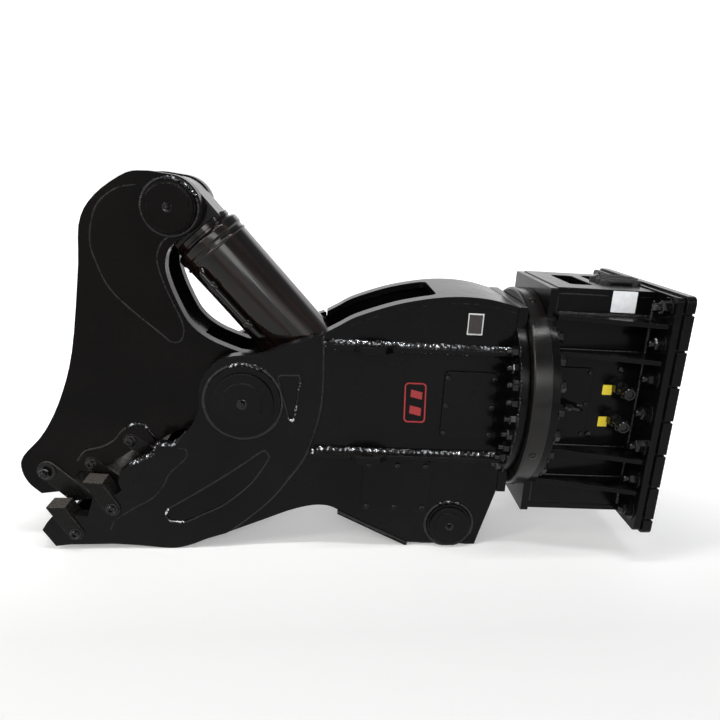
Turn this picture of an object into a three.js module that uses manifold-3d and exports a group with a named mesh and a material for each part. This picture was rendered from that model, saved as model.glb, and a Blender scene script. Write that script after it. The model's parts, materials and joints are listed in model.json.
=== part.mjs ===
// Rotating hydraulic demolition crusher for a 20 tonne excavator, jaws closed.
// Millimetres. +X runs along the slew axis and out of the mounting face, +Z is up.
// The origin is the centre of the mounting face. The jaws lie towards -X.
import * as THREE from 'three';
import { mergeVertices } from 'three/addons/utils/BufferGeometryUtils.js';
import Module from 'manifold-3d';

const wasm = await Module();
wasm.setup();

// ---- driving dimensions -------------------------------------------------------------

const GAP = 0.3; // between pieces that touch
const RING_SIDES = 88; // sides of the slewing ring
const ROUND = 48; // sides of a large circle
const SMALL_ROUND = 24; // sides of a small circle

// stations along the slew axis
const MOUNT_FACE_X = 0;
const MOUNT_PLATE_X = -28;
const HEAD_FLANGE_X = -52;
const HEAD_BOX_X = -352;
const HEAD_FRONT_X = -376;
const FRAME_END_X = -436;
const END_PLATE = 28;
const FRAME_X = FRAME_END_X - END_PLATE;

// mounting head
const MOUNT_HALF_WIDTH = 310;
const MOUNT_HALF_HEIGHT = 375;
const HEAD_HALF_WIDTH = 177;
const HEAD_HALF_HEIGHT = 365;
const HEAD_WALL = 20;
const FLANGE_BOLT_PITCH = 108;
const PORT_X = -118;
const GUSSET_THICKNESS = 14;
const GUSSET_LEVELS = [280, 170, -145, -250];

// slewing ring and its drive
const RING_RADIUS = 330;
const RACE_SPLIT_RADIUS = 270;
const RACE_CLEARANCE = 3;
const GEAR_MODULE = 8;
const RING_TEETH = 54;
const PINION_TEETH = 12;
const SWIVEL_RADIUS = 60;

// crusher frame
const CHEEK_OUTER = 187;
const CHEEK_INNER = 147;
const SIDE_OUTER = 182;
const SIDE_INNER = 156;
const DECK = 20;
const SLOT_HALF_WIDTH = 130;
const SLOT_END_X = -705;

// pivots, as [x, z]
const MAIN_PIVOT = [-1280, -34];
const JAW_PIVOT = [-1506, 530];
const FOOT_PIVOT = [-608, -430];
const MAIN_PIN_RADIUS = 62;
const JAW_PIN_RADIUS = 52;
const FOOT_PIN_RADIUS = 46;
const PIN_PLAY = 0.5;

// moving jaw
const JAW_OUTER = 112;
const JAW_INNER = 72;
const JAW_HUB_RADIUS = 100;
const JAW_HUB_HALF = 141;
const TOOTH_HALF_WIDTH = 119;

// cylinder
const BARREL_RADIUS = 110;
const BORE_RADIUS = 86;
const ROD_RADIUS = 54;
const SLIDE_CLEARANCE = 6.5;
const BARREL_START = 122;
const BARREL_END = 866;
const ROD_LENGTH = 640;

// ---- materials ------------------------------------------------------------------------

const finish = (color, roughness, metalness) =>
  new THREE.MeshStandardMaterial({ color, roughness, metalness });
const BLACK_PAINT = finish(0x121214, 0.28, 0.2);
const RING_STEEL = finish(0x26272a, 0.3, 0.8);
const PIN_STEEL = finish(0x1c1c1e, 0.35, 0.5);
const TOOTH_STEEL = finish(0x55565a, 0.5, 0.8);
const CHROME = finish(0xc8cacc, 0.1, 1.0);
const BRONZE = finish(0x9a7b45, 0.4, 0.9);

// ---- solids ---------------------------------------------------------------------------

function toSolid(geometry) {
  const bare = geometry.index ? geometry.toNonIndexed() : geometry.clone();
  bare.deleteAttribute('normal');
  bare.deleteAttribute('uv');
  const merged = mergeVertices(bare, 1e-3);
  const corners = Float32Array.from(merged.attributes.position.array);
  const triangles = [];
  const index = merged.index.array;
  for (let i = 0; i < index.length; i += 3) {
    const [a, b, c] = [index[i], index[i + 1], index[i + 2]];
    if (a !== b && b !== c && c !== a) triangles.push(a, b, c);
  }
  const mesh = { numProp: 3, vertProperties: corners, triVerts: Uint32Array.from(triangles) };
  const solid = new wasm.Manifold(new wasm.Mesh(mesh));
  if (solid.volume() > 0) return solid;
  mesh.triVerts.reverse();
  return new wasm.Manifold(new wasm.Mesh(mesh));
}

function toGeometry(solid) {
  const mesh = solid.getMesh();
  const geometry = new THREE.BufferGeometry();
  geometry.setAttribute('position', new THREE.BufferAttribute(mesh.vertProperties, 3));
  geometry.setIndex(new THREE.BufferAttribute(mesh.triVerts, 1));
  geometry.computeVertexNormals();
  return geometry;
}

const join = (first, ...others) => others.reduce((whole, other) => whole.add(other), first);
const cut = (first, ...tools) => tools.reduce((rest, tool) => rest.subtract(tool), first);

// A closed outline swept through a thickness, drawn as [u, v] points.
function extrude(points, depth) {
  const shape = new THREE.Shape(points.map(([u, v]) => new THREE.Vector2(u, v)));
  return new THREE.ExtrudeGeometry(shape, { depth, bevelEnabled: false });
}

// Outline in X-Z, filling yMin to yMax.
function plateXZ(points, yMin, yMax) {
  return toSolid(extrude(points, yMax - yMin).rotateX(Math.PI / 2).translate(0, yMax, 0));
}

// Outline in X-Y, filling zMin to zMax.
function plateXY(points, zMin, zMax) {
  return toSolid(extrude(points, zMax - zMin).translate(0, 0, zMin));
}

// Outline in Y-Z, filling xMin to xMax.
function plateYZ(points, xMin, xMax) {
  const turn = new THREE.Matrix4().makeBasis(
    new THREE.Vector3(0, 1, 0),
    new THREE.Vector3(0, 0, 1),
    new THREE.Vector3(1, 0, 0),
  );
  return toSolid(extrude(points, xMax - xMin).applyMatrix4(turn).translate(xMin, 0, 0));
}

function block(xMin, xMax, yMin, yMax, zMin, zMax) {
  const box = new THREE.BoxGeometry(xMax - xMin, yMax - yMin, zMax - zMin);
  box.translate((xMin + xMax) / 2, (yMin + yMax) / 2, (zMin + zMax) / 2);
  return toSolid(box);
}

// A disc or bar with its axis along Y, through [x, z].
function rodY([x, z], radius, yMin, yMax, sides = ROUND) {
  const rod = new THREE.CylinderGeometry(radius, radius, yMax - yMin, sides);
  return toSolid(rod.translate(x, (yMin + yMax) / 2, z));
}

// A disc or bar with its axis along X, at height z and offset y.
function rodX(xMin, xMax, radius, y = 0, z = 0, sides = ROUND) {
  const rod = new THREE.CylinderGeometry(radius, radius, xMax - xMin, sides);
  return toSolid(rod.rotateZ(Math.PI / 2).translate((xMin + xMax) / 2, y, z));
}

// A turned piece on the X axis: [x, radius] points, closed on itself.
function turnedX(profile, sides = ROUND) {
  const points = [...profile, profile[0]].map(([x, radius]) => new THREE.Vector2(radius, x));
  return toSolid(new THREE.LatheGeometry(points, sides).rotateZ(-Math.PI / 2));
}

// ---- outlines -------------------------------------------------------------------------

// A smooth curve through the points.
function smooth(points, steps) {
  const curve = new THREE.SplineCurve(points.map(([u, v]) => new THREE.Vector2(u, v)));
  return curve.getPoints(steps).map((point) => [point.x, point.y]);
}

// Points on a circle, angles in degrees.
function arc([u, v], radius, from, to, steps) {
  return Array.from({ length: steps + 1 }, (_, i) => {
    const angle = THREE.MathUtils.degToRad(from + ((to - from) * i) / steps);
    return [u + radius * Math.cos(angle), v + radius * Math.sin(angle)];
  });
}

function rectangle(uMin, uMax, vMin, vMax, corner = 0) {
  if (corner === 0) return [[uMin, vMin], [uMax, vMin], [uMax, vMax], [uMin, vMax]];
  const inner = [uMin + corner, uMax - corner, vMin + corner, vMax - corner];
  return [
    ...arc([inner[1], inner[2]], corner, -90, 0, 3),
    ...arc([inner[1], inner[3]], corner, 0, 90, 3),
    ...arc([inner[0], inner[3]], corner, 90, 180, 3),
    ...arc([inner[0], inner[2]], corner, 180, 270, 3),
  ];
}

const shifted = (points, du, dv) => points.map(([u, v]) => [u + du, v + dv]);

// A bar with one round end about its bolt and one slanted cutting end.
function toothOutline([x, z], heading, longSide, shortSide, width) {
  const radius = width / 2;
  const along = THREE.MathUtils.degToRad(heading);
  const [dx, dz] = [Math.cos(along), Math.sin(along)];
  const corner = (distance, side) => [
    x + dx * distance - dz * side * radius,
    z + dz * distance + dx * side * radius,
  ];
  const back = arc([x, z], radius, heading + 90, heading + 270, 10);
  return [...back, corner(shortSide, -1), corner(longSide, 1)];
}

// Outline of a gear. The shares are the widths of a tooth at its root and tip, in pitches.
function gearOutline(teeth, rootRadius, tipRadius, rootShare, tipShare, phase) {
  const pitch = (2 * Math.PI) / teeth;
  const at = (radius, angle) => [radius * Math.cos(angle), radius * Math.sin(angle)];
  return Array.from({ length: teeth }, (_, i) => {
    const middle = phase + i * pitch;
    return [
      at(rootRadius, middle - (rootShare * pitch) / 2),
      at(tipRadius, middle - (tipShare * pitch) / 2),
      at(tipRadius, middle + (tipShare * pitch) / 2),
      at(rootRadius, middle + (rootShare * pitch) / 2),
    ];
  }).flat();
}

// Top edge of the frame, from the cheeks to the end plate.
const TOP_EDGE = smooth([
  [-1045, 190], [-1000, 216], [-949, 246], [-848, 284], [-767, 305],
  [-690, 318], [-613, 322], [-540, 316], [FRAME_X - GAP, 299],
], 28);

// Seam between each thick cheek and the thinner frame side, from top to bottom.
const SEAM = smooth([
  [-1045, 190], [-1042, 101], [-1041, 12], [-1048, -69],
  [-1080, -190], [-1132, -279], [-1209, -380], [-1328, -486],
], 24);

// Bottom edge of the frame sides, from the seam to the foot.
const BELLY_EDGE = smooth([
  [-1328, -486], [-1209, -434], [-1129, -399], [-1060, -379], [-1010, -378], [-974, -392],
], 16);

const TOOTH_HEADING_FIXED = 123;
const FIXED_TEETH = [
  { bolt: [-1806, -500], long: 122, short: 92, width: 50 },
  { bolt: [-1688, -408], long: 122, short: 88, width: 50 },
];

const MOVING_TEETH = [
  { bolt: [-1914, -322], heading: -41, long: 174, short: 124, width: 64 },
  { bolt: [-1772, -290], heading: -38, long: 118, short: 92, width: 46 },
  { bolt: [-1645, -205], heading: -34, long: 96, short: 74, width: 46 },
];

const JAW_BACK_EDGE = [
  ...smooth([
    [-1300, 103], [-1390, 138], [-1450, 184], [-1486, 246], [-1512, 310], [-1522, 360],
    [-1508, 412], [-1452, 466],
  ], 26),
  ...arc(JAW_PIVOT, 92, -38, 84, 18),
];

const JAW_FRONT_EDGE = smooth([
  [-1530, 625], [-1575, 628], [-1632, 617], [-1719, 553], [-1766, 474], [-1778, 333],
  [-1812, 80], [-1859, -78], [-1918, -194], [-1986, -274], [-1996, -321], [-1977, -369],
  [-1939, -405],
], 44);

const JAW_TOOTH_EDGE = [
  [-1880, -396], [-1846, -372], [-1812, -318], [-1786, -322], [-1742, -316],
  [-1704, -282], [-1672, -262], [-1640, -238], [-1590, -226], [-1560, -204], [-1500, -168],
];

const JAW_OUTLINE = [
  ...arc(MAIN_PIVOT, 135, 222, 450, 28),
  ...JAW_BACK_EDGE,
  ...JAW_FRONT_EDGE,
  ...JAW_TOOTH_EDGE,
];

// ---- the model ------------------------------------------------------------------------

const crusher = new THREE.Group();

function addPart(name, solid, material) {
  const mesh = new THREE.Mesh(toGeometry(solid), material);
  mesh.name = name;
  crusher.add(mesh);
}

// Both copies of a piece that stands on the near (-Y) and the far (+Y) side.
// make(inner, outer) gets the y range of the side it is on.
function addPair(name, inner, outer, material, make) {
  addPart(`${name}_near`, make(-outer, -inner), material);
  addPart(`${name}_far`, make(inner, outer), material);
}

// ---- mounting head ----------------------------------------------------------------------

function mountingPlate() {
  const [yHalf, zHalf] = [MOUNT_HALF_WIDTH, MOUNT_HALF_HEIGHT];
  let plate = plateYZ(rectangle(-yHalf, yHalf, -zHalf, zHalf, 18), MOUNT_PLATE_X, MOUNT_FACE_X);
  const notchDepth = 10;
  for (let row = -3; row <= 3; row += 1) {
    const z = row * FLANGE_BOLT_PITCH;
    for (const side of [-1, 1]) {
      const edge = side * yHalf;
      const inner = side * (yHalf - notchDepth);
      const [low, high] = [Math.min(edge, inner), Math.max(edge, inner)];
      plate = cut(plate, block(MOUNT_PLATE_X - 5, MOUNT_FACE_X + 5, low - 1, high + 1, z - 3, z + 3));
    }
  }
  return plate;
}

function headFlange() {
  const xMax = MOUNT_PLATE_X - GAP;
  const yHalf = MOUNT_HALF_WIDTH - 8;
  const zHalf = MOUNT_HALF_HEIGHT - 6;
  const plate = plateYZ(rectangle(-yHalf, yHalf, -zHalf, zHalf, 14), HEAD_FLANGE_X, xMax);
  const inner = HEAD_HALF_WIDTH - 42;
  const opening = rectangle(-inner, inner, -HEAD_HALF_HEIGHT + 60, HEAD_HALF_HEIGHT - 60, 20);
  return cut(plate, plateYZ(opening, HEAD_FLANGE_X - 5, xMax + 5));
}

// One side wall of the head box with its four tapered gussets.
function headSide(yMin, yMax) {
  const outward = Math.sign(yMin);
  const face = outward * HEAD_HALF_WIDTH;
  const xMax = HEAD_FLANGE_X - GAP;
  const zHalf = HEAD_HALF_HEIGHT - HEAD_WALL - GAP;
  let wall = block(HEAD_BOX_X + GAP, xMax, yMin, yMax, -zHalf, zHalf);
  for (const z of GUSSET_LEVELS) {
    const outline = [
      [HEAD_BOX_X + GAP, face - outward],
      [HEAD_BOX_X + GAP, face + outward * 34],
      [HEAD_BOX_X + 60, face + outward * 42],
      [xMax, face + outward * 104],
      [xMax, face - outward],
    ];
    wall = join(wall, plateXY(outline, z - GUSSET_THICKNESS / 2, z + GUSSET_THICKNESS / 2));
  }
  return wall;
}

function headDeck(zMin, zMax, openings) {
  const deck = block(HEAD_BOX_X + GAP, HEAD_FLANGE_X - GAP, -HEAD_HALF_WIDTH, HEAD_HALF_WIDTH, zMin, zMax);
  return cut(deck, ...openings.map((outline) => plateXY(outline, zMin - 5, zMax + 5)));
}

const PINION_OFFSET = ((RING_TEETH - PINION_TEETH) * GEAR_MODULE) / 2;

// Rectangular front plate with the round seat of the slewing ring.
function headFront() {
  const rect = plateYZ(
    rectangle(-HEAD_HALF_WIDTH - 7, HEAD_HALF_WIDTH + 7, -372, 362, 6),
    HEAD_FRONT_X,
    HEAD_BOX_X,
  );
  const seat = rodX(HEAD_FRONT_X, HEAD_BOX_X, RING_RADIUS - 4, 0, 0, RING_SIDES);
  const swivelBore = rodX(HEAD_FRONT_X - 5, HEAD_BOX_X + 5, SWIVEL_RADIUS + 12);
  const pinionBore = rodX(HEAD_FRONT_X - 5, HEAD_BOX_X + 5, 64, 0, PINION_OFFSET);
  return cut(join(rect, seat), swivelBore, pinionBore);
}

function addHead() {
  addPart('mounting_plate', mountingPlate(), BLACK_PAINT);
  addPart('head_flange', headFlange(), BLACK_PAINT);
  addPair('head_side', HEAD_HALF_WIDTH - HEAD_WALL, HEAD_HALF_WIDTH, BLACK_PAINT, headSide);
  const deckLow = HEAD_HALF_HEIGHT - HEAD_WALL;
  const hatches = [
    rectangle(-286, -212, -100, 100, 16),
    rectangle(-178, -72, -70, 120, 20),
  ];
  addPart('head_top_deck', headDeck(deckLow, HEAD_HALF_HEIGHT, hatches), BLACK_PAINT);
  addPart('head_bottom_deck', headDeck(-HEAD_HALF_HEIGHT, -deckLow, []), BLACK_PAINT);
  addPart('head_front_plate', headFront(), BLACK_PAINT);
  const coverFace = -HEAD_HALF_WIDTH - GAP;
  const cover = plateXZ(rectangle(-338, -206, -110, 120, 14), coverFace - 8, coverFace);
  addPart('head_cover', cover, BLACK_PAINT);
  for (const [name, z] of [['port_upper', 63], ['port_lower', -43]]) {
    const y = -HEAD_HALF_WIDTH - GAP;
    const base = rodY([PORT_X, z], 24, y - 26, y, 6);
    const neck = rodY([PORT_X, z], 15, y - 58, y - 20, SMALL_ROUND);
    const bore = rodY([PORT_X, z], 9, y - 70, y - 12, 16);
    addPart(name, cut(join(base, neck), bore), PIN_STEEL);
  }
}

// ---- slewing ring, pinion, motor and rotary joint -------------------------------------------

function outerRace() {
  const xMin = FRAME_END_X + RACE_CLEARANCE;
  const xMax = HEAD_FRONT_X - GAP;
  return turnedX([
    [xMin, RACE_SPLIT_RADIUS + RACE_CLEARANCE],
    [xMin, RING_RADIUS - 6],
    [xMin + 6, RING_RADIUS],
    [xMax, RING_RADIUS],
    [xMax, RACE_SPLIT_RADIUS + RACE_CLEARANCE],
  ], RING_SIDES);
}

function innerRace() {
  const xMin = FRAME_END_X + GAP;
  const xMax = HEAD_FRONT_X - RACE_CLEARANCE;
  const pitchRadius = (GEAR_MODULE * RING_TEETH) / 2;
  const ring = rodX(xMin, xMax, RACE_SPLIT_RADIUS, 0, 0, RING_SIDES);
  const space = gearOutline(
    RING_TEETH, pitchRadius - GEAR_MODULE * 0.7, pitchRadius + GEAR_MODULE, 0.72, 0.4, Math.PI / 2,
  );
  return cut(ring, plateYZ(space, xMin - 5, xMax + 5));
}

function pinion() {
  const pitchRadius = (GEAR_MODULE * PINION_TEETH) / 2;
  const xMin = FRAME_END_X + 8;
  const phase = Math.PI / 2;
  const teeth = gearOutline(
    PINION_TEETH, pitchRadius - GEAR_MODULE * 1.1, pitchRadius + GEAR_MODULE * 0.7, 0.5, 0.24, phase,
  );
  const gear = plateYZ(teeth, xMin, HEAD_FRONT_X - RACE_CLEARANCE);
  const shaft = rodX(xMin + 10, HEAD_BOX_X - 2, 26, 0, 0, SMALL_ROUND);
  return join(gear, shaft).translate([0, 0, PINION_OFFSET]);
}

function slewMotor() {
  const xMin = HEAD_BOX_X + GAP;
  const flange = rodX(xMin, xMin + 22, 74, 0, PINION_OFFSET, SMALL_ROUND);
  const body = rodX(xMin + 20, xMin + 150, 62, 0, PINION_OFFSET, SMALL_ROUND);
  const cap = rodX(xMin + 148, xMin + 190, 50, 0, PINION_OFFSET, SMALL_ROUND);
  return join(flange, body, cap);
}

function addSlewDrive() {
  addPart('slew_outer_race', outerRace(), RING_STEEL);
  addPart('slew_inner_race', innerRace(), RING_STEEL);
  addPart('drive_pinion', pinion(), TOOTH_STEEL);
  addPart('slew_motor', slewMotor(), PIN_STEEL);
  const rotorEnd = HEAD_BOX_X + 150;
  const flange = rodX(FRAME_END_X + GAP, FRAME_END_X + 18, 96, 0, 0, SMALL_ROUND);
  const stem = rodX(FRAME_END_X + 10, rotorEnd, SWIVEL_RADIUS, 0, 0, SMALL_ROUND);
  addPart('swivel_rotor', join(flange, stem), PIN_STEEL);
  addPart('swivel_housing', turnedX([
    [HEAD_BOX_X + GAP, SWIVEL_RADIUS + 2],
    [HEAD_BOX_X + GAP, 92],
    [HEAD_BOX_X + 22, 92],
    [HEAD_BOX_X + 22, 84],
    [rotorEnd + 12, 84],
    [rotorEnd + 12, SWIVEL_RADIUS + 2],
  ], 32), PIN_STEEL);
}

// ---- crusher frame ------------------------------------------------------------------------

function tooth(spec, yMin, yMax, grow = 0) {
  const heading = spec.heading ?? TOOTH_HEADING_FIXED;
  const outline = toothOutline(
    spec.bolt, heading, spec.long + grow * 8, spec.short + grow * 8, spec.width + grow * 2,
  );
  return plateXZ(outline, yMin, yMax);
}

// Thick cheek: bearing lobe for the jaw pivot at the rear, fixed jaw at the front.
function cheek(yMin, yMax) {
  const outward = Math.sign(yMin + yMax);
  const outline = [
    ...SEAM.slice(0, -1),
    ...smooth([
      [-1328, -486], [-1392, -509], [-1440, -531], [-1488, -545], [-1530, -546],
      [-1607, -540], [-1690, -537],
    ], 16),
    [-1825, -544], [-1873, -551], [-1912, -494], [-1894, -465], [-1871, -437],
    [-1838, -438], [-1767, -442], [-1756, -404], [-1744, -366], [-1700, -380],
    [-1655, -346], [-1666, -322], [-1660, -282], [-1632, -258], [-1552, -216],
    [-1540, -182], [-1496, -190],
    ...smooth([
      [-1470, -160], [-1436, -118], [-1414, -62], [-1411, -2], [-1396, 46], [-1356, 92],
      [-1300, 112], [-1241, 112], [-1174, 140], [-1115, 163], [-1060, 184],
    ], 34),
  ];
  let plate = plateXZ(outline, yMin, yMax);
  const [from, to] = outward < 0 ? [yMin - 7, yMin + 5] : [yMax - 5, yMax + 7];
  plate = join(plate, rodY(MAIN_PIVOT, 114, from, to));
  const slot = [
    ...arc([-1496, -424], 24, 130, 262, 10),
    ...smooth([[-1468, -452], [-1337, -385], [-1262, -318], [-1204, -226]], 18),
    ...arc([-1212, -212], 16, -10, 120, 8),
  ];
  const keyhole = [[-1176, 48], [-1166, 56], [-1112, 58], [-1108, 46], [-1122, -74], [-1132, -88], [-1142, -74]];
  const [slotMin, slotMax] = outward < 0 ? [yMin - 1, yMin + 4] : [yMax - 4, yMax + 1];
  plate = cut(plate, plateXZ(slot, slotMin, slotMax), plateXZ(keyhole, slotMin, slotMax));
  plate = cut(plate, rodY(MAIN_PIVOT, MAIN_PIN_RADIUS + PIN_PLAY, yMin - 10, yMax + 10));
  for (const spec of FIXED_TEETH) {
    plate = cut(plate, tooth(spec, yMin - 10, yMax + 10, 0.4));
  }
  return plate;
}

function frameSide(yMin, yMax) {
  const outward = Math.sign(yMin + yMax);
  const top = TOP_EDGE.filter(([x]) => x > -1036);
  const seam = shifted(SEAM, 0.8, 0).filter(([, z]) => z < 168);
  const outline = [
    ...shifted(top, 0, -DECK - GAP),
    [FRAME_X - GAP, -306], [-467, -318], [-507, -470], [-515, -503],
    [-736, -503], [-850, -452],
    ...shifted(BELLY_EDGE, 1.5, 0).reverse(),
    ...seam.reverse(),
  ];
  let plate = plateXZ(outline, yMin, yMax);
  const [from, to] = outward < 0 ? [yMin - 8, yMin + 5] : [yMax - 5, yMax + 8];
  plate = join(plate, rodY(FOOT_PIVOT, 72, from, to));
  return cut(plate, rodY(FOOT_PIVOT, FOOT_PIN_RADIUS + PIN_PLAY, yMin - 10, yMax + 10));
}

// Curved deck over the frame, open at the front for the cylinder.
function topDeck() {
  const top = TOP_EDGE.filter(([x]) => x > -1036);
  const outline = [...top, ...shifted(top, 0, -DECK).reverse()];
  const deck = plateXZ(outline, -SIDE_OUTER, SIDE_OUTER);
  const slot = rectangle(-1100, SLOT_END_X, -SLOT_HALF_WIDTH, SLOT_HALF_WIDTH, 24);
  return cut(deck, plateXY(slot, 100, 400));
}

// A strip welded between the side plates, following an edge of the frame.
function strip(edge, thickness, halfWidth) {
  return plateXZ([...edge, ...shifted(edge, 0, thickness).reverse()], -halfWidth, halfWidth);
}

function endPlate() {
  const rect = plateYZ(rectangle(-CHEEK_OUTER, CHEEK_OUTER, -306, 300), FRAME_X, FRAME_END_X);
  const disc = rodX(FRAME_X, FRAME_END_X, 300, 0, 0, RING_SIDES);
  return cut(join(rect, disc), rodX(FRAME_X - 5, FRAME_END_X + 5, 76));
}

// A welded rib with a lifting eye, standing out from the frame side.
function ribWithEye(zMiddle, xMin, eyeX) {
  return (yMin, yMax) => {
    const outward = Math.sign(yMin + yMax);
    const foot = outward * (SIDE_OUTER + GAP);
    const edge = outward * 216;
    const outline = outward < 0
      ? rectangle(xMin, FRAME_X - GAP, edge, foot)
      : rectangle(xMin, FRAME_X - GAP, foot, edge);
    const rib = plateXY(outline, zMiddle - 7, zMiddle + 7);
    const lobe = [
      [eyeX - 62, edge - outward * 4], [eyeX - 34, outward * 246],
      [eyeX + 34, outward * 246], [eyeX + 62, edge - outward * 4],
    ];
    const eye = plateXY(lobe, zMiddle - 11, zMiddle + 11);
    const hole = rectangle(eyeX - 17, eyeX + 17, outward * 222 - 15, outward * 222 + 15, 14.9);
    return cut(join(rib, eye), plateXY(hole, zMiddle - 20, zMiddle + 20));
  };
}

// A pin that ends flush at -Y and has a flat head at +Y.
function pinWithHead(pivot, radius, halfLength, headRadius, flat, headThickness) {
  const shank = rodY(pivot, radius, -halfLength, halfLength + GAP + 1);
  const headStart = halfLength + GAP;
  return join(shank, pinCap(pivot, headRadius, flat, headStart, headStart + headThickness));
}

// Retaining cap with two flats.
function pinCap(pivot, radius, flat, yMin, yMax) {
  const disc = rodY(pivot, radius, yMin, yMax);
  const outward = Math.sign(yMin + yMax);
  const [from, to] = outward < 0 ? [yMin - 5, yMin] : [yMax, yMax + 5];
  const [x, z] = pivot;
  const boss = rodY(pivot, flat * 1.12, from - (outward > 0 ? 1 : 0), to + (outward < 0 ? 1 : 0));
  const slab = block(x - flat, x + flat, from - 2, to + 2, z - radius, z + radius);
  return join(disc, boss.intersect(slab));
}

function addFrame() {
  addPair('cheek', CHEEK_INNER, CHEEK_OUTER, BLACK_PAINT, cheek);
  addPair('frame_side', SIDE_INNER, SIDE_OUTER, BLACK_PAINT, frameSide);
  addPart('frame_top_deck', topDeck(), BLACK_PAINT);
  addPart('frame_end_plate', endPlate(), BLACK_PAINT);
  const inner = CHEEK_INNER - GAP;
  const belly = BELLY_EDGE.filter(([x]) => x > -1300 && x < -985);
  addPart('frame_belly_plate', strip(belly, DECK, inner), BLACK_PAINT);
  const skid = [[-974, -394], [-850, -453], [-740, -504]];
  addPart('frame_skid', strip(shifted(skid, 0, -14.5), 14, SIDE_OUTER), BLACK_PAINT);
  addPart('frame_throat_web', block(-1120, -1100, -inner, inner, -364, -190), BLACK_PAINT);
  addPair('rib_upper', SIDE_OUTER, 250, BLACK_PAINT, ribWithEye(160, -1034, -894));
  addPair('rib_lower', SIDE_OUTER, 250, BLACK_PAINT, ribWithEye(-188, -1058, -890));
  const coverStart = SIDE_OUTER + GAP;
  addPair('cover_rear', coverStart, coverStart + 8, BLACK_PAINT, (yMin, yMax) =>
    plateXZ(rectangle(-667, -503, -128, 92, 14), yMin, yMax));
  const frontCover = rectangle(-900, -684, -386, -206, 18);
  addPart('cover_front', plateXZ(frontCover, -coverStart - 8, -coverStart), BLACK_PAINT);
  const mainHalf = CHEEK_OUTER + 7;
  addPart('main_pin', pinWithHead(MAIN_PIVOT, MAIN_PIN_RADIUS, mainHalf, 94, 58, 10), PIN_STEEL);
  const mainCap = pinCap(MAIN_PIVOT, 94, 58, -mainHalf - GAP - 10, -mainHalf - GAP);
  addPart('main_pin_cap', mainCap, PIN_STEEL);
  const footHalf = SIDE_OUTER + 8;
  addPart('foot_pin', pinWithHead(FOOT_PIVOT, FOOT_PIN_RADIUS, footHalf, 64, 43, 8), PIN_STEEL);
  const footCap = pinCap(FOOT_PIVOT, 64, 43, -footHalf - GAP - 8, -footHalf - GAP);
  addPart('foot_pin_cap', footCap, PIN_STEEL);
}

function addFixedJaw() {
  const halfWidth = CHEEK_INNER - GAP;
  const anvil = [
    [-1860, -540], [-1530, -536], [-1420, -506], [-1330, -470], [-1322, -446],
    [-1430, -474], [-1540, -486], [-1860, -478],
  ];
  const pocket = tooth(FIXED_TEETH[0], -halfWidth - 5, halfWidth + 5, 0.4);
  addPart('fixed_jaw_anvil', cut(plateXZ(anvil, -halfWidth, halfWidth), pocket), BLACK_PAINT);
  FIXED_TEETH.forEach((spec, i) => {
    addPair(`fixed_tooth_${i + 1}`, 126, CHEEK_OUTER + 6, TOOTH_STEEL, (yMin, yMax) =>
      tooth(spec, yMin, yMax));
  });
}

// ---- moving jaw ---------------------------------------------------------------------------

function jawSide(yMin, yMax) {
  const outward = Math.sign(yMin + yMax);
  let plate = plateXZ(JAW_OUTLINE, yMin, yMax);
  const [from, to] = outward < 0 ? [yMin - 14, yMin + 5] : [yMax - 5, yMax + 14];
  plate = join(plate, rodY(JAW_PIVOT, 78, from, to));
  plate = cut(plate, rodY(JAW_PIVOT, JAW_PIN_RADIUS + PIN_PLAY, yMin - 20, yMax + 20));
  plate = cut(plate, rodY(MAIN_PIVOT, JAW_HUB_RADIUS + GAP, yMin - 20, yMax + 20));
  for (const spec of MOVING_TEETH) plate = cut(plate, tooth(spec, yMin - 20, yMax + 20, 0.4));
  return plate;
}

// Closing strip between the two jaw sides, inset from their edge.
function jawStrip(points, inset, thickness, steps) {
  const edge = smooth(points, steps);
  return plateXZ([
    ...shifted(edge, inset, 0),
    ...shifted(edge, inset + thickness, 0).reverse(),
  ], -JAW_INNER + GAP, JAW_INNER - GAP);
}

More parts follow.
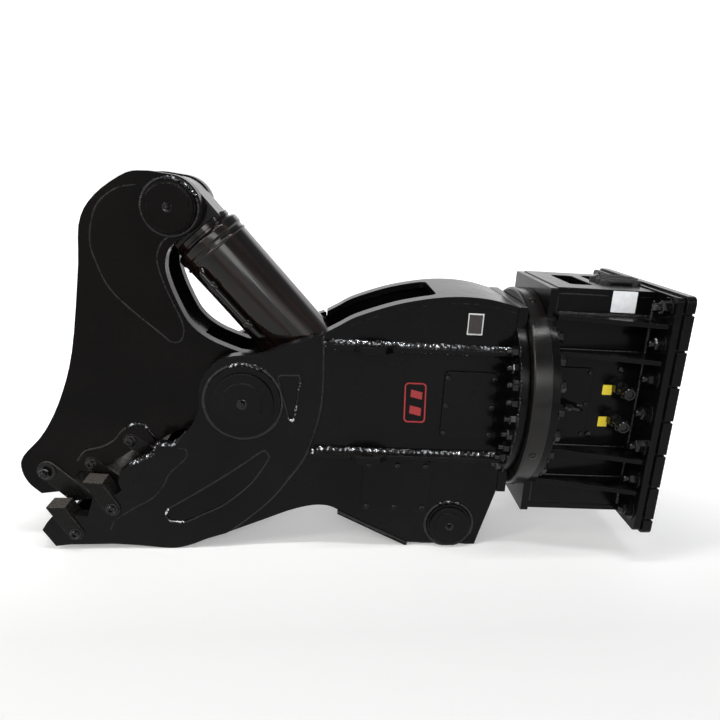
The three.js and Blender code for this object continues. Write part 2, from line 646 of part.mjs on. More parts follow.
function addMovingJaw() {
  addPair('jaw_side', JAW_INNER, JAW_OUTER, BLACK_PAINT, jawSide);
  const hub = rodY(MAIN_PIVOT, JAW_HUB_RADIUS, -JAW_HUB_HALF, JAW_HUB_HALF);
  const hubBore = rodY(MAIN_PIVOT, MAIN_PIN_RADIUS + PIN_PLAY, -JAW_HUB_HALF - 5, JAW_HUB_HALF + 5);
  addPart('jaw_hub', cut(hub, hubBore), BLACK_PAINT);
  addPart('jaw_front_strip', jawStrip([
    [-1762, 473], [-1773, 333], [-1807, 80], [-1838, -32],
  ], 10, 24, 10), BLACK_PAINT);
  addPart('jaw_rear_strip', jawStrip([
    [-1410, 136], [-1470, 187], [-1519, 274], [-1538, 359],
  ], -38, 24, 10), BLACK_PAINT);
  const core = [
    [-1976, -300], [-1960, -355], [-1930, -388], [-1895, -392],
    [-1850, -366], [-1815, -312], [-1600, -218], [-1500, -150], [-1430, -90],
    [-1420, 0], [-1480, 40], [-1700, -60], [-1880, -170],
  ];
  const nose = plateXZ(core, -JAW_INNER + GAP, JAW_INNER - GAP);
  const pockets = MOVING_TEETH.map((spec) => tooth(spec, -JAW_INNER - 5, JAW_INNER + 5, 0.4));
  addPart('jaw_core', cut(nose, ...pockets), BLACK_PAINT);
  const insert = [
    ...smooth([
      [-1814, -290], [-1790, -254], [-1735, -236], [-1698, -212], [-1673, -179],
      [-1637, -156], [-1605, -156], [-1570, -196], [-1572, -214],
    ], 16),
    [-1592, -222], [-1640, -236], [-1674, -258], [-1706, -278], [-1744, -312], [-1790, -318],
  ];
  addPair('jaw_wear_plate', JAW_OUTER + GAP, JAW_OUTER + 8, BLACK_PAINT, (yMin, yMax) => cut(
    plateXZ(insert, yMin, yMax),
    ...MOVING_TEETH.slice(1).map((spec) => tooth(spec, yMin - 5, yMax + 5, 0.4)),
  ));
  MOVING_TEETH.forEach((spec, i) => {
    addPart(`jaw_tooth_${i + 1}`, tooth(spec, -TOOTH_HALF_WIDTH, TOOTH_HALF_WIDTH), TOOTH_STEEL);
  });
  const pinHalf = JAW_OUTER + 14;
  addPart('jaw_pin', pinWithHead(JAW_PIVOT, JAW_PIN_RADIUS, pinHalf, 72, 60, 9), PIN_STEEL);
  const jawCap = pinCap(JAW_PIVOT, 72, 60, -pinHalf - GAP - 9, -pinHalf - GAP);
  addPart('jaw_pin_cap', jawCap, PIN_STEEL);
}

// ---- cylinder -----------------------------------------------------------------------------

// Cylinder pieces are drawn along +X from their own pivot, then turned onto the line between
// the two pivots.
function onPivotLine(solid, from, to) {
  const angle = Math.atan2(to[1] - from[1], to[0] - from[0]);
  return solid.rotate([0, -THREE.MathUtils.radToDeg(angle), 0]).translate([from[0], 0, from[1]]);
}

function addCylinder() {
  const barrelPiece = (solid) => onPivotLine(solid, JAW_PIVOT, FOOT_PIVOT);
  const rodPiece = (solid) => onPivotLine(solid, FOOT_PIVOT, JAW_PIVOT);
  const rim = BARREL_RADIUS + 4;
  const shell = turnedX([
    [BARREL_START, BORE_RADIUS], [BARREL_START, rim - 8], [BARREL_START + 8, rim],
    [BARREL_START + 30, rim], [BARREL_START + 34, BARREL_RADIUS],
    [BARREL_END - 46, BARREL_RADIUS], [BARREL_END - 46, BORE_RADIUS],
  ], ROUND);
  addPart('barrel_tube', barrelPiece(shell), BLACK_PAINT);
  const eyeWidth = JAW_INNER - 5;
  const eye = rodY([0, 0], 88, -eyeWidth, eyeWidth);
  const neck = plateXZ([[0, -79], [108, -76], [108, 88], [0, 88]], -eyeWidth, eyeWidth);
  const plug = rodX(104, BARREL_START + 40, BORE_RADIUS - GAP);
  const eyeBore = rodY([0, 0], JAW_PIN_RADIUS + PIN_PLAY, -eyeWidth - 5, eyeWidth + 5);
  addPart('barrel_eye', barrelPiece(cut(join(eye, neck, plug), eyeBore)), BLACK_PAINT);
  const glandBore = ROD_RADIUS + SLIDE_CLEARANCE;
  addPart('barrel_gland', barrelPiece(turnedX([
    [BARREL_END - 100, glandBore], [BARREL_END - 100, BORE_RADIUS - GAP],
    [BARREL_END - 46 + GAP, BORE_RADIUS - GAP], [BARREL_END - 46 + GAP, BARREL_RADIUS],
    [BARREL_END, BARREL_RADIUS], [BARREL_END, glandBore],
  ], ROUND)), PIN_STEEL);
  const rodStart = 92;
  addPart('rod', rodPiece(rodX(rodStart, ROD_LENGTH, ROD_RADIUS, 0, 0, 32)), CHROME);
  const pistonRadius = BORE_RADIUS - SLIDE_CLEARANCE;
  const piston = turnedX([
    [ROD_LENGTH - 62, ROD_RADIUS + GAP], [ROD_LENGTH - 62, pistonRadius],
    [ROD_LENGTH + 4, pistonRadius], [ROD_LENGTH + 4, ROD_RADIUS + GAP],
  ], 32);
  addPart('piston', rodPiece(piston), BRONZE);
  const rodEyeHalf = 66;
  const lug = rodY([0, 0], 70, -rodEyeHalf, rodEyeHalf);
  const socket = rodX(rodStart - 40, rodStart - GAP, 60, 0, 0, 32);
  const bore = rodY([0, 0], FOOT_PIN_RADIUS + PIN_PLAY, -rodEyeHalf - 5, rodEyeHalf + 5);
  addPart('rod_eye', rodPiece(cut(join(lug, socket), bore)), PIN_STEEL);
}

addHead();
addSlewDrive();
addFrame();
addFixedJaw();
addMovingJaw();
addCylinder();

export default crusher;
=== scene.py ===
"""Looks of the rotating demolition crusher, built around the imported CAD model. Metres."""

import json
import math
import random

import bmesh
import bpy
from mathutils import Matrix, Vector

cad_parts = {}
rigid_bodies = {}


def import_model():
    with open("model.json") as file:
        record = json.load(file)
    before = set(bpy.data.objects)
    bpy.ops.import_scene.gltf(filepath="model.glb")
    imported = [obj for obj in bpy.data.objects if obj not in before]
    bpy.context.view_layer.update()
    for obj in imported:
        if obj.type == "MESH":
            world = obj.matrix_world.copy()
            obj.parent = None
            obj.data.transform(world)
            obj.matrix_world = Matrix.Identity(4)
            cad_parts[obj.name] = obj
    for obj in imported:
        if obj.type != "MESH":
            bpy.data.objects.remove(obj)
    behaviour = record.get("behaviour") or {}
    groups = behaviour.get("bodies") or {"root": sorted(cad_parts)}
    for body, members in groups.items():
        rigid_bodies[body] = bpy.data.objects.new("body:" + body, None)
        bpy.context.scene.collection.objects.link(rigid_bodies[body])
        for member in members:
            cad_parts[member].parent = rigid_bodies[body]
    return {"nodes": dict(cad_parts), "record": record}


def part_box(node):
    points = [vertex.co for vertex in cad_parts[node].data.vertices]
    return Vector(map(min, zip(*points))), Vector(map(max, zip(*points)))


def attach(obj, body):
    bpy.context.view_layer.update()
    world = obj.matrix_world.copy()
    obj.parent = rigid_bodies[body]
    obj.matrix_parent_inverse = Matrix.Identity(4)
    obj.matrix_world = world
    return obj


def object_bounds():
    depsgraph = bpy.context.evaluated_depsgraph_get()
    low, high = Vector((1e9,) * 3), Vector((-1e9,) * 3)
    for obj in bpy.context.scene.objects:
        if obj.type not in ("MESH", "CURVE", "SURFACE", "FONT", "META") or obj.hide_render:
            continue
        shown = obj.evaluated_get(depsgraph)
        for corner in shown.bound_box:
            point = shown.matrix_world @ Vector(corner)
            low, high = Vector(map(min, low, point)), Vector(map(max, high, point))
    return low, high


for leftover in list(bpy.data.objects):
    bpy.data.objects.remove(leftover)

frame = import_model()
CAD_BOX = [list(corner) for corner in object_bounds()]
NODES = frame["nodes"]
BODY_OF = {
    node: body
    for body, nodes in frame["record"]["behaviour"]["bodies"].items()
    for node in nodes
}
NEAR, FAR = -1, 1
FORWARD, REARWARD = Vector((-1, 0, 0)), Vector((1, 0, 0))
MM = 0.001


def pivot(joint_name):
    place = next(joint["pos_m"] for joint in frame["record"]["behaviour"]["joints"]
                 if joint["name"] == joint_name)
    return Vector(place)


MAIN = pivot("jaw_open")
JAW_PIN = pivot("barrel_swing")
FOOT = pivot("rod_swing")

# how far the outer faces lie from the middle plane, in millimetres
SIDE_Y = 182.0
CHEEK_Y = 187.0
JAW_Y = 112.0
HEAD_Y = 177.0
COVER_Y = SIDE_Y + 8.3
HEAD_COVER_Y = HEAD_Y + 8.3
WEAR_PLATE_Y = 120.3
TOOTH_Y = 119.0
MAIN_CAP_Y = 209.3
FOOT_CAP_Y = 203.3
JAW_CAP_Y = 140.3


# ---- camera, light and floor -----------------------------------------------------------

SENSOR_WIDTH = 36.0
FOCAL_LENGTH = 31.6
CAMERA_PLACE = (-1.035, -2.018, 0.633)
CAMERA_YAW = 3.27  # degrees, from +Y towards +X
CAMERA_PITCH = 15.76  # degrees, downwards
CAMERA_ROLL = -3.41  # degrees
SKY_BOTTOM = (0.53, 0.53, 0.53, 1)
SKY_STOPS = ((0.24, 0.53), (0.27, 0.95), (0.40, 0.95), (0.52, 0.16))  # sine of the elevation, grey
SKY_TOP = (0.10, 0.10, 0.11, 1)
SKY_STRENGTH = 2.0
FLOOR_REACH = 40.0
FLOOR_GAP = 0.003
GLOW_START_Y = -0.6
GLOW_FULL_Y = 1.2
GLOW_STRENGTH = 0.8
SOLE_REST = Vector((-1.53, 0, -0.546))
FOOT_REST = Vector((-0.53, 0, -0.503))


def add_camera():
    """The photo's viewpoint."""
    data = bpy.data.cameras.new("camera")
    data.sensor_width = SENSOR_WIDTH
    data.lens = FOCAL_LENGTH
    data.clip_start = 0.05
    camera = bpy.data.objects.new("camera", data)
    bpy.context.scene.collection.objects.link(camera)
    bpy.context.scene.camera = camera
    yaw, pitch, roll = (math.radians(angle) for angle in (CAMERA_YAW, CAMERA_PITCH, CAMERA_ROLL))
    ahead = Vector((
        math.sin(yaw) * math.cos(pitch),
        math.cos(yaw) * math.cos(pitch),
        -math.sin(pitch),
    ))
    right = Vector((math.cos(yaw), -math.sin(yaw), 0.0))
    up = right.cross(ahead)
    rolled_right = right * math.cos(roll) - up * math.sin(roll)
    rolled_up = right * math.sin(roll) + up * math.cos(roll)
    turn = Matrix((rolled_right, rolled_up, -ahead)).transposed()
    camera.matrix_world = Matrix.Translation(CAMERA_PLACE) @ turn.to_4x4()


def add_area(name, place, target, size, power, tint=(1, 1, 1)):
    data = bpy.data.lights.new(name, "AREA")
    data.shape = "RECTANGLE"
    data.size, data.size_y = size
    data.energy = power
    data.color = tint
    light = bpy.data.objects.new(name, data)
    bpy.context.scene.collection.objects.link(light)
    light.location = place
    light.rotation_mode = "QUATERNION"
    light.rotation_quaternion = (Vector(target) - Vector(place)).to_track_quat("-Z", "Y")


def add_studio():
    """A sky with one bright band above the horizon, a long strip above and two soft lights."""
    bpy.context.scene.view_settings.view_transform = "Standard"
    world = bpy.data.worlds.new("studio")
    bpy.context.scene.world = world
    world.use_nodes = True
    nodes, links = world.node_tree.nodes, world.node_tree.links
    background = nodes["Background"]
    coords = nodes.new("ShaderNodeTexCoord")
    axes = nodes.new("ShaderNodeSeparateXYZ")
    ramp = nodes.new("ShaderNodeValToRGB")
    links.new(coords.outputs["Generated"], axes.inputs[0])
    links.new(axes.outputs["Z"], ramp.inputs[0])
    links.new(ramp.outputs[0], background.inputs[0])
    stops = ramp.color_ramp.elements
    stops[0].position, stops[0].color = 0.0, SKY_BOTTOM
    stops[1].position, stops[1].color = 1.0, SKY_TOP
    for position, level in SKY_STOPS:
        stops.new(position).color = (level, level, level, 1)
    background.inputs[1].default_value = SKY_STRENGTH
    middle_x = (CAD_BOX[0][0] + CAD_BOX[1][0]) / 2
    add_area("top_strip", place=(middle_x, -0.7, 2.7), target=(middle_x, -0.1, 0.0),
             size=(3.2, 0.10), power=48)
    add_area("left_light", place=(-3.8, -1.8, 2.4), target=(-1.2, 0.0, 0.1),
             size=(0.5, 1.4), power=30, tint=(1.0, 0.97, 0.94))
    add_area("front_light", place=(-0.6, -4.2, 2.2), target=(-0.9, 0.0, 0.1),
             size=(3.0, 1.2), power=48)


def node_material(name):
    material = bpy.data.materials.new(name)
    material.use_nodes = True
    nodes = material.node_tree.nodes
    return material, nodes, material.node_tree.links, nodes["Principled BSDF"]


def set_range(node, low, high, to_low, to_high):
    """Sets what a Map Range node maps, and what it maps it to."""
    numbers = {"From Min": low, "From Max": high, "To Min": to_low, "To Max": to_high}
    for key, number in numbers.items():
        node.inputs[key].default_value = number


def add_floor():
    """A pale floor under the two resting places. It glows behind the part, so that it fades to white."""
    material, nodes, links, shader = node_material("pale_floor")
    noise = nodes.new("ShaderNodeTexNoise")
    noise.inputs["Scale"].default_value = 3.0
    ramp = nodes.new("ShaderNodeValToRGB")
    ramp.color_ramp.elements[0].color = (0.86, 0.86, 0.855, 1)
    ramp.color_ramp.elements[1].color = (0.89, 0.89, 0.885, 1)
    links.new(noise.outputs["Fac"], ramp.inputs[0])
    links.new(ramp.outputs[0], shader.inputs["Base Color"])
    coords = nodes.new("ShaderNodeTexCoord")
    axes = nodes.new("ShaderNodeSeparateXYZ")
    glow = nodes.new("ShaderNodeMapRange")
    set_range(glow, GLOW_START_Y, GLOW_FULL_Y, 0.0, GLOW_STRENGTH)
    links.new(coords.outputs["Object"], axes.inputs[0])
    links.new(axes.outputs["Y"], glow.inputs["Value"])
    links.new(glow.outputs[0], shader.inputs["Emission Strength"])
    shader.inputs["Emission Color"].default_value = (1, 1, 1, 1)
    shader.inputs["Roughness"].default_value = 0.7
    shader.inputs["Specular IOR Level"].default_value = 0.1
    mesh = bpy.data.meshes.new("floor")
    builder = bmesh.new()
    corners = [
        builder.verts.new((x * FLOOR_REACH, y * FLOOR_REACH, 0))
        for x, y in ((-1, -1), (1, -1), (1, 1), (-1, 1))
    ]
    builder.faces.new(corners)
    builder.to_mesh(mesh)
    builder.free()
    mesh.materials.append(material)
    floor = bpy.data.objects.new("floor", mesh)
    bpy.context.scene.collection.objects.link(floor)
    slope = math.atan2(FOOT_REST.z - SOLE_REST.z, FOOT_REST.x - SOLE_REST.x)
    floor.location = (SOLE_REST.x, 0, SOLE_REST.z - FLOOR_GAP)
    floor.rotation_euler = (0, -slope, 0)


# ---- materials -------------------------------------------------------------------------

class Shade:
    """Short names for the nodes of one material."""

    def __init__(self, name):
        self.material, self.nodes, self.links, self.shader = node_material(name)

    def noise(self, scale, detail=4.0, roughness=0.55, stretch=(1, 1, 1), turn=None):
        """Noise in the piece's own frame; with a turn it is drawn out along the turned axes."""
        coords = self.nodes.new("ShaderNodeTexCoord")
        mapping = self.nodes.new("ShaderNodeMapping")
        if turn:
            mapping.vector_type = "TEXTURE"
            mapping.inputs["Rotation"].default_value = turn
        mapping.inputs["Scale"].default_value = stretch
        noise = self.nodes.new("ShaderNodeTexNoise")
        noise.inputs["Scale"].default_value = scale
        noise.inputs["Detail"].default_value = detail
        noise.inputs["Roughness"].default_value = roughness
        self.links.new(coords.outputs["Object"], mapping.inputs[0])
        self.links.new(mapping.outputs[0], noise.inputs["Vector"])
        return noise.outputs[0]

    def remap(self, value, low, high, to_low, to_high):
        node = self.nodes.new("ShaderNodeMapRange")
        set_range(node, low, high, to_low, to_high)
        self.links.new(value, node.inputs["Value"])
        return node.outputs[0]

    def combine(self, operation, first, second):
        node = self.nodes.new("ShaderNodeMath")
        node.operation = operation
        for socket, value in zip(node.inputs, (first, second)):
            if isinstance(value, (int, float)):
                socket.default_value = value
            else:
                self.links.new(value, socket)
        return node.outputs[0]

    def mix(self, factor, first, second):
        node = self.nodes.new("ShaderNodeMix")
        node.data_type = "RGBA"
        self.links.new(factor, node.inputs["Factor"])
        for socket, value in ((node.inputs[6], first), (node.inputs[7], second)):
            if isinstance(value, tuple):
                socket.default_value = (*value, 1)
            else:
                self.links.new(value, socket)
        return node.outputs[2]

    def bump(self, height, strength, distance, before=None):
        node = self.nodes.new("ShaderNodeBump")
        node.inputs["Strength"].default_value = strength
        node.inputs["Distance"].default_value = distance
        self.links.new(height, node.inputs["Height"])
        if before is not None:
            self.links.new(before, node.inputs["Normal"])
        return node.outputs[0]

    def edges(self, radius):
        """1 along rounded edges, 0 on flat faces."""
        rounded = self.nodes.new("ShaderNodeBevel")
        rounded.samples = 4
        rounded.inputs["Radius"].default_value = radius
        geometry = self.nodes.new("ShaderNodeNewGeometry")
        dot = self.nodes.new("ShaderNodeVectorMath")
        dot.operation = "DOT_PRODUCT"
        self.links.new(rounded.outputs[0], dot.inputs[0])
        self.links.new(geometry.outputs["True Normal"], dot.inputs[1])
        return self.remap(dot.outputs["Value"], 0.995, 0.80, 0.0, 1.0)

    def facing_up(self):
        """1 on faces that look up, 0 on slopes of 60 degrees and more."""
        geometry = self.nodes.new("ShaderNodeNewGeometry")
        axes = self.nodes.new("ShaderNodeSeparateXYZ")
        self.links.new(geometry.outputs["Normal"], axes.inputs[0])
        return self.remap(axes.outputs["Z"], 0.5, 1.0, 0.0, 1.0)

    def set(self, key, value):
        if isinstance(value, (int, float)):
            self.shader.inputs[key].default_value = value
        elif isinstance(value, tuple):
            self.shader.inputs[key].default_value = (*value, 1)
        else:
            self.links.new(value, self.shader.inputs[key])


ENAMEL_IOR = 1.42
RUBBED_PAINT = (0.13, 0.125, 0.12)
DUST = (0.17, 0.16, 0.145)


def paint_material(name, dark, light, gloss, wear, peel, dust_level, shine):
    """Glossy enamel: orange peel, patches of haze, dust on top and rubbed edges."""
    s = Shade(name)
    colour = s.mix(s.remap(s.noise(3.2, 5.0), 0.35, 0.7, 0.0, 1.0), dark, light)
    chips = s.remap(s.noise(70.0, 6.0, 0.7), 0.50, 0.60, 0.0, wear)
    worn = s.combine("MULTIPLY", s.edges(0.003), chips)
    colour = s.mix(worn, colour, RUBBED_PAINT)
    dust = s.remap(s.noise(14.0, 8.0, 0.65), 0.42, 0.75, 0.0, 0.35 * dust_level)
    dust = s.combine("MULTIPLY", s.facing_up(), dust)
    s.set("Base Color", s.mix(dust, colour, DUST))
    haze = s.remap(s.noise(7.0, 6.0), 0.3, 0.75, gloss, gloss + 0.06)
    scuffs = s.remap(s.noise(26.0, 3.0, 0.6, (1.0, 1.0, 9.0)), 0.60, 0.72, 0.0, 0.10)
    rough = s.combine("ADD", s.combine("ADD", haze, scuffs), s.combine("MULTIPLY", dust, 0.6))
    s.set("Roughness", s.combine("ADD", rough, s.combine("MULTIPLY", worn, 0.3)))
    waves = s.bump(s.noise(5.0, 2.0), 0.2, 0.004)
    s.set("Normal", s.bump(s.noise(420.0, 2.0), peel, 0.0006, waves))
    s.set("IOR", ENAMEL_IOR)
    s.set("Specular IOR Level", shine)
    return s.material


def steel_material(name, dark, light, rough, metallic, grain=(1.0, 1.0, 1.0), pits=0.25, shine=0.3):
    """Bare or thinly painted steel with grinding marks, stains and bright rubbed edges."""
    s = Shade(name)
    colour = s.mix(s.remap(s.noise(16.0, 8.0, 0.65), 0.35, 0.7, 0.0, 1.0), light, dark)
    bright = tuple(min(1.0, channel * 2.4) for channel in light)
    s.set("Base Color", s.mix(s.combine("MULTIPLY", s.edges(0.004), 0.8), colour, bright))
    marks = s.noise(160.0, 4.0, 0.6, grain)
    s.set("Roughness", s.remap(marks, 0.3, 0.7, rough, rough + 0.18))
    pitted = s.bump(s.noise(60.0, 6.0, 0.7), pits, 0.0015)
    s.set("Normal", s.bump(marks, 0.2, 0.0006, pitted))
    s.set("Metallic", metallic)
    s.set("Specular IOR Level", shine)
    return s.material


def plain_material(name, base, second, rough, scale, bump=0.1):
    """Tags, labels and rubber: a mottled colour with a fine skin."""
    s = Shade(name)
    s.set("Base Color", s.mix(s.remap(s.noise(scale, 6.0, 0.6), 0.35, 0.7, 0.0, 1.0), base, second))
    s.set("Roughness", s.remap(s.noise(scale * 3.0, 4.0), 0.3, 0.7, rough, rough + 0.15))
    s.set("Normal", s.bump(s.noise(scale * 9.0, 3.0), bump, 0.0004))
    return s.material


def barrel_material(name):
    """Dark enamel over a turned tube: brownish streaks that run along the barrel, partly a brown tone and
    partly painted sheen, laid on the same streaks that the bump turns into highlights.
    """
    s = Shade(name)
    axis = FOOT - JAW_PIN
    turn = (0, math.atan2(-axis.z, axis.x), 0)
    streaks = s.noise(30.0, 3.0, 0.6, (30.0, 1.0, 1.0), turn=turn)
    # brown tone and painted sheen, lighter along the streaks that the bump turns into highlights
    brown_sheen_streaks = s.remap(streaks, 0.42, 0.66, 0.0, 1.0)
    s.set("Base Color", s.mix(brown_sheen_streaks, (0.0022, 0.0018, 0.0017), (0.0120, 0.0058, 0.0042)))
    s.set("Roughness", s.remap(s.noise(9.0, 4.0), 0.3, 0.75, 0.08, 0.16))
    s.set("Normal", s.bump(streaks, 0.5, 0.002))
    s.set("IOR", ENAMEL_IOR)
    s.set("Specular IOR Level", 0.45)
    return s.material


def glinting_weld_material(name):
    """Painted weld metal: near black and lumpy, with painted glints: bright bare-metal spots scattered by
    noise stand in for light sparkling on the bead.
    """
    s = Shade(name)
    # painted glints: bright metallic spots stand in for light sparkling on the bead
    glint_spots = s.remap(s.noise(105.0, 2.0, 0.5), 0.53, 0.60, 0.0, 1.0)
    glint_patches = s.remap(s.noise(9.0, 3.0), 0.40, 0.56, 0.25, 1.0)
    bare_and_painted_highlight = s.combine("MULTIPLY", glint_spots, glint_patches)
    s.set("Base Color", s.mix(bare_and_painted_highlight, (0.0020, 0.0019, 0.0019), (0.62, 0.64, 0.67)))
    s.set("Metallic", bare_and_painted_highlight)
    s.set("Roughness", s.remap(s.noise(90.0, 3.0), 0.35, 0.7, 0.06, 0.20))
    s.set("Normal", s.bump(s.noise(190.0, 3.0, 0.6), 0.7, 0.003))
    s.set("IOR", ENAMEL_IOR)
    s.set("Specular IOR Level", 0.3)
    return s.material


def tooth_material(name):
    """Dark forged steel with paint remains and bright nicked edges; facets that face up are painted bright,
    partly rubbed steel and partly a painted highlight where light falls from above.
    """
    s = Shade(name)
    stains = s.remap(s.noise(22.0, 8.0, 0.65), 0.35, 0.7, 0.0, 1.0)
    base = s.mix(stains, (0.0018, 0.0017, 0.0016), (0.0050, 0.0045, 0.0040))
    scrapes = s.remap(s.noise(45.0, 6.0, 0.7), 0.30, 0.62, 0.25, 1.0)
    # facets that face up turn bright: partly rubbed steel, partly a painted highlight from light falling
    # from above
    rubbed_and_top_highlight = s.combine("MULTIPLY", s.facing_up(), scrapes)
    nicks = s.remap(s.noise(90.0, 5.0, 0.7), 0.42, 0.6, 0.0, 0.55)
    edge = s.combine("MULTIPLY", s.edges(0.004), nicks)
    # bare steel on nicked edges, and the painted highlight on the upward facets
    bare_and_painted_highlight = s.combine("MAXIMUM", rubbed_and_top_highlight, edge)
    s.set("Base Color", s.mix(bare_and_painted_highlight, base, (0.20, 0.185, 0.165)))
    s.set("Roughness", s.remap(s.noise(130.0, 4.0), 0.3, 0.7, 0.18, 0.34))
    s.set("Metallic", s.combine("MULTIPLY", bare_and_painted_highlight, 0.7))
    pitted = s.bump(s.noise(70.0, 6.0, 0.7), 0.3, 0.0015)
    s.set("Normal", s.bump(s.noise(240.0, 4.0), 0.2, 0.0005, pitted))
    s.set("Specular IOR Level", 0.14)
    return s.material


PAINT = paint_material(
    "black_enamel", dark=(0.0020, 0.0019, 0.0021), light=(0.0042, 0.0039, 0.0039),
    gloss=0.14, wear=0.2, peel=0.08, dust_level=0.3, shine=0.15)
JAW_PAINT = paint_material(
    "jaw_enamel", dark=(0.0015, 0.0012, 0.0011), light=(0.0042, 0.0032, 0.0029),
    gloss=0.18, wear=0.2, peel=0.08, dust_level=0.3, shine=0.12)
BARREL_PAINT = barrel_material("barrel_enamel")
# weld paint with painted glints, for the beads that should sparkle
GLINTING_WELD_PAINT = glinting_weld_material("glinting_weld_enamel")
SEAM_PAINT = paint_material(
    "seam_enamel", dark=(0.0012, 0.0011, 0.0011), light=(0.0030, 0.0028, 0.0027),
    gloss=0.10, wear=0.1, peel=0.3, dust_level=0.1, shine=0.42)
RING = steel_material(
    "ring_black", dark=(0.003, 0.003, 0.003), light=(0.008, 0.007, 0.006),
    rough=0.10, metallic=0.0, grain=(30.0, 1.0, 1.0), pits=0.03, shine=0.28)
PIN = paint_material(
    "pin_black", dark=(0.0018, 0.0017, 0.0017), light=(0.0045, 0.0042, 0.0040),
    gloss=0.08, wear=0.2, peel=0.1, dust_level=0.1, shine=0.4)
TOOTH = tooth_material("tooth_steel")
CHROME = steel_material(
    "rod_chrome", dark=(0.55, 0.55, 0.56), light=(0.7, 0.7, 0.72),
    rough=0.08, metallic=1.0, grain=(1.0, 1.0, 20.0), pits=0.02)
BRONZE = steel_material(
    "piston_bronze", dark=(0.3, 0.2, 0.09), light=(0.5, 0.36, 0.17), rough=0.3, metallic=1.0)
SILVER = steel_material(
    "plate_silver", dark=(0.35, 0.35, 0.35), light=(0.6, 0.6, 0.6),
    rough=0.3, metallic=0.9, grain=(1.0, 1.0, 8.0), pits=0.05)
DARK_FIELD = plain_material("plate_field", (0.012, 0.010, 0.010), (0.03, 0.02, 0.018), 0.35, scale=120.0)
RED = plain_material("badge_red", (0.26, 0.010, 0.014), (0.36, 0.018, 0.020), 0.35, scale=90.0)
YELLOW = plain_material("tag_yellow", (0.83, 0.62, 0.02), (0.9, 0.72, 0.05), 0.45, scale=80.0)
WHITE = plain_material("label_white", (0.68, 0.70, 0.72), (0.80, 0.81, 0.82), 0.4, scale=60.0)
RUBBER = plain_material(
    "hose_rubber", (0.006, 0.006, 0.006), (0.014, 0.014, 0.014), 0.45, scale=260.0, bump=0.5)
SLOT_MATERIAL = {
    "black_paint": PAINT,
    "ring_steel": RING,
    "pin_steel": PIN,
    "tooth_steel": TOOTH,
    "chrome_rod": CHROME,
    "piston_bronze": BRONZE,
}
SLOT_OF = {part["node"]: part["material_slot"] for part in frame["record"]["subparts"]}


# ---- CAD nodes: rounded edges and paint ------------------------------------------------

EDGE_RADIUS = {
    "cheek": 0.004, "jaw_side": 0.005, "tooth": 0.003, "cover": 0.002, "port": 0.0012, "race": 0.003,
    "frame_side": 0.003,
}
OTHER_EDGE_RADIUS = 0.0022
MERGE_DISTANCE = 0.00002


def dress_node(name, node):
    """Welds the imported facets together, rounds the hard edges and paints the node."""
    weld = node.modifiers.new("weld", "WELD")
    weld.merge_threshold = MERGE_DISTANCE
    bevel = node.modifiers.new("rounded_edges", "BEVEL")
    bevel.width = next((r for key, r in EDGE_RADIUS.items() if key in name), OTHER_EDGE_RADIUS)
    bevel.segments = 3
    bevel.limit_method = "ANGLE"
    bevel.angle_limit = math.radians(32)
    flat_faces = node.modifiers.new("flat_faces", "WEIGHTED_NORMAL")
    flat_faces.mode = "FACE_AREA"
    flat_faces.weight = 90
    material = SLOT_MATERIAL[SLOT_OF[name]]
    if material is PAINT or "pin_cap" in name:
        material = {"moving_jaw": JAW_PAINT, "cylinder_barrel": BARREL_PAINT}.get(BODY_OF[name], PAINT)
    for slot in node.material_slots:
        slot.material = material
    for face in node.data.polygons:
        face.use_smooth = True


# ---- building pieces -------------------------------------------------------------------

def finish_piece(name, builder, material, body, bevel=0.0, smooth_angle=35):
    """Makes one object of the mesh, paints it and hangs it on its body."""
    mesh = bpy.data.meshes.new(name)
    bmesh.ops.recalc_face_normals(builder, faces=builder.faces[:])
    builder.to_mesh(mesh)
    builder.free()
    mesh.materials.append(material)
    piece = bpy.data.objects.new(name, mesh)
    bpy.context.scene.collection.objects.link(piece)
    for face in mesh.polygons:
        face.use_smooth = True
    mesh.set_sharp_from_angle(angle=math.radians(smooth_angle))
    if bevel:
        rounding = piece.modifiers.new("rounded_edges", "BEVEL")
        rounding.width = bevel
        rounding.segments = 2
        rounding.limit_method = "ANGLE"
        rounding.angle_limit = math.radians(smooth_angle)
        rounding.harden_normals = True
    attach(piece, body)


def axes_along(direction):
    """Two unit vectors square to the direction."""
    direction = direction.normalized()
    upward = Vector((0, 0, 1))
    if abs(direction.dot(upward)) > 0.95:
        upward = Vector((1, 0, 0))
    side = direction.cross(upward).normalized()
    return side, side.cross(direction).normalized()


def add_turned(builder, base, direction, profile, sides, start=0.0):
    """Adds a body of revolution: profile is (distance along, radius) from base to tip."""
    direction = direction.normalized()
    side, up = axes_along(direction)
    rings = []
    for along, radius in profile:
        centre = base + direction * along
        if radius < 1e-6:
            rings.append([builder.verts.new(centre)])
            continue
        rings.append([
            builder.verts.new(centre + (side * math.cos(angle) + up * math.sin(angle)) * radius)
            for angle in (start + 2 * math.pi * i / sides for i in range(sides))
        ])
    for low, high in zip(rings, rings[1:]):
        for i in range(sides):
            j = (i + 1) % sides
            if len(low) == 1:
                builder.faces.new((low[0], high[j], high[i]))
            elif len(high) == 1:
                builder.faces.new((low[i], low[j], high[0]))
            else:
                builder.faces.new((low[i], low[j], high[j], high[i]))
    for ring in (rings[0], rings[-1]):
        if len(ring) > 1:
            builder.faces.new(ring)


def chamfered(radius, height, rise, cut, start=0.0):
    """Profile of a stud or disc: straight up to the height, then a chamfer."""
    return [(start, radius), (height, radius), (height + rise, radius - cut)]


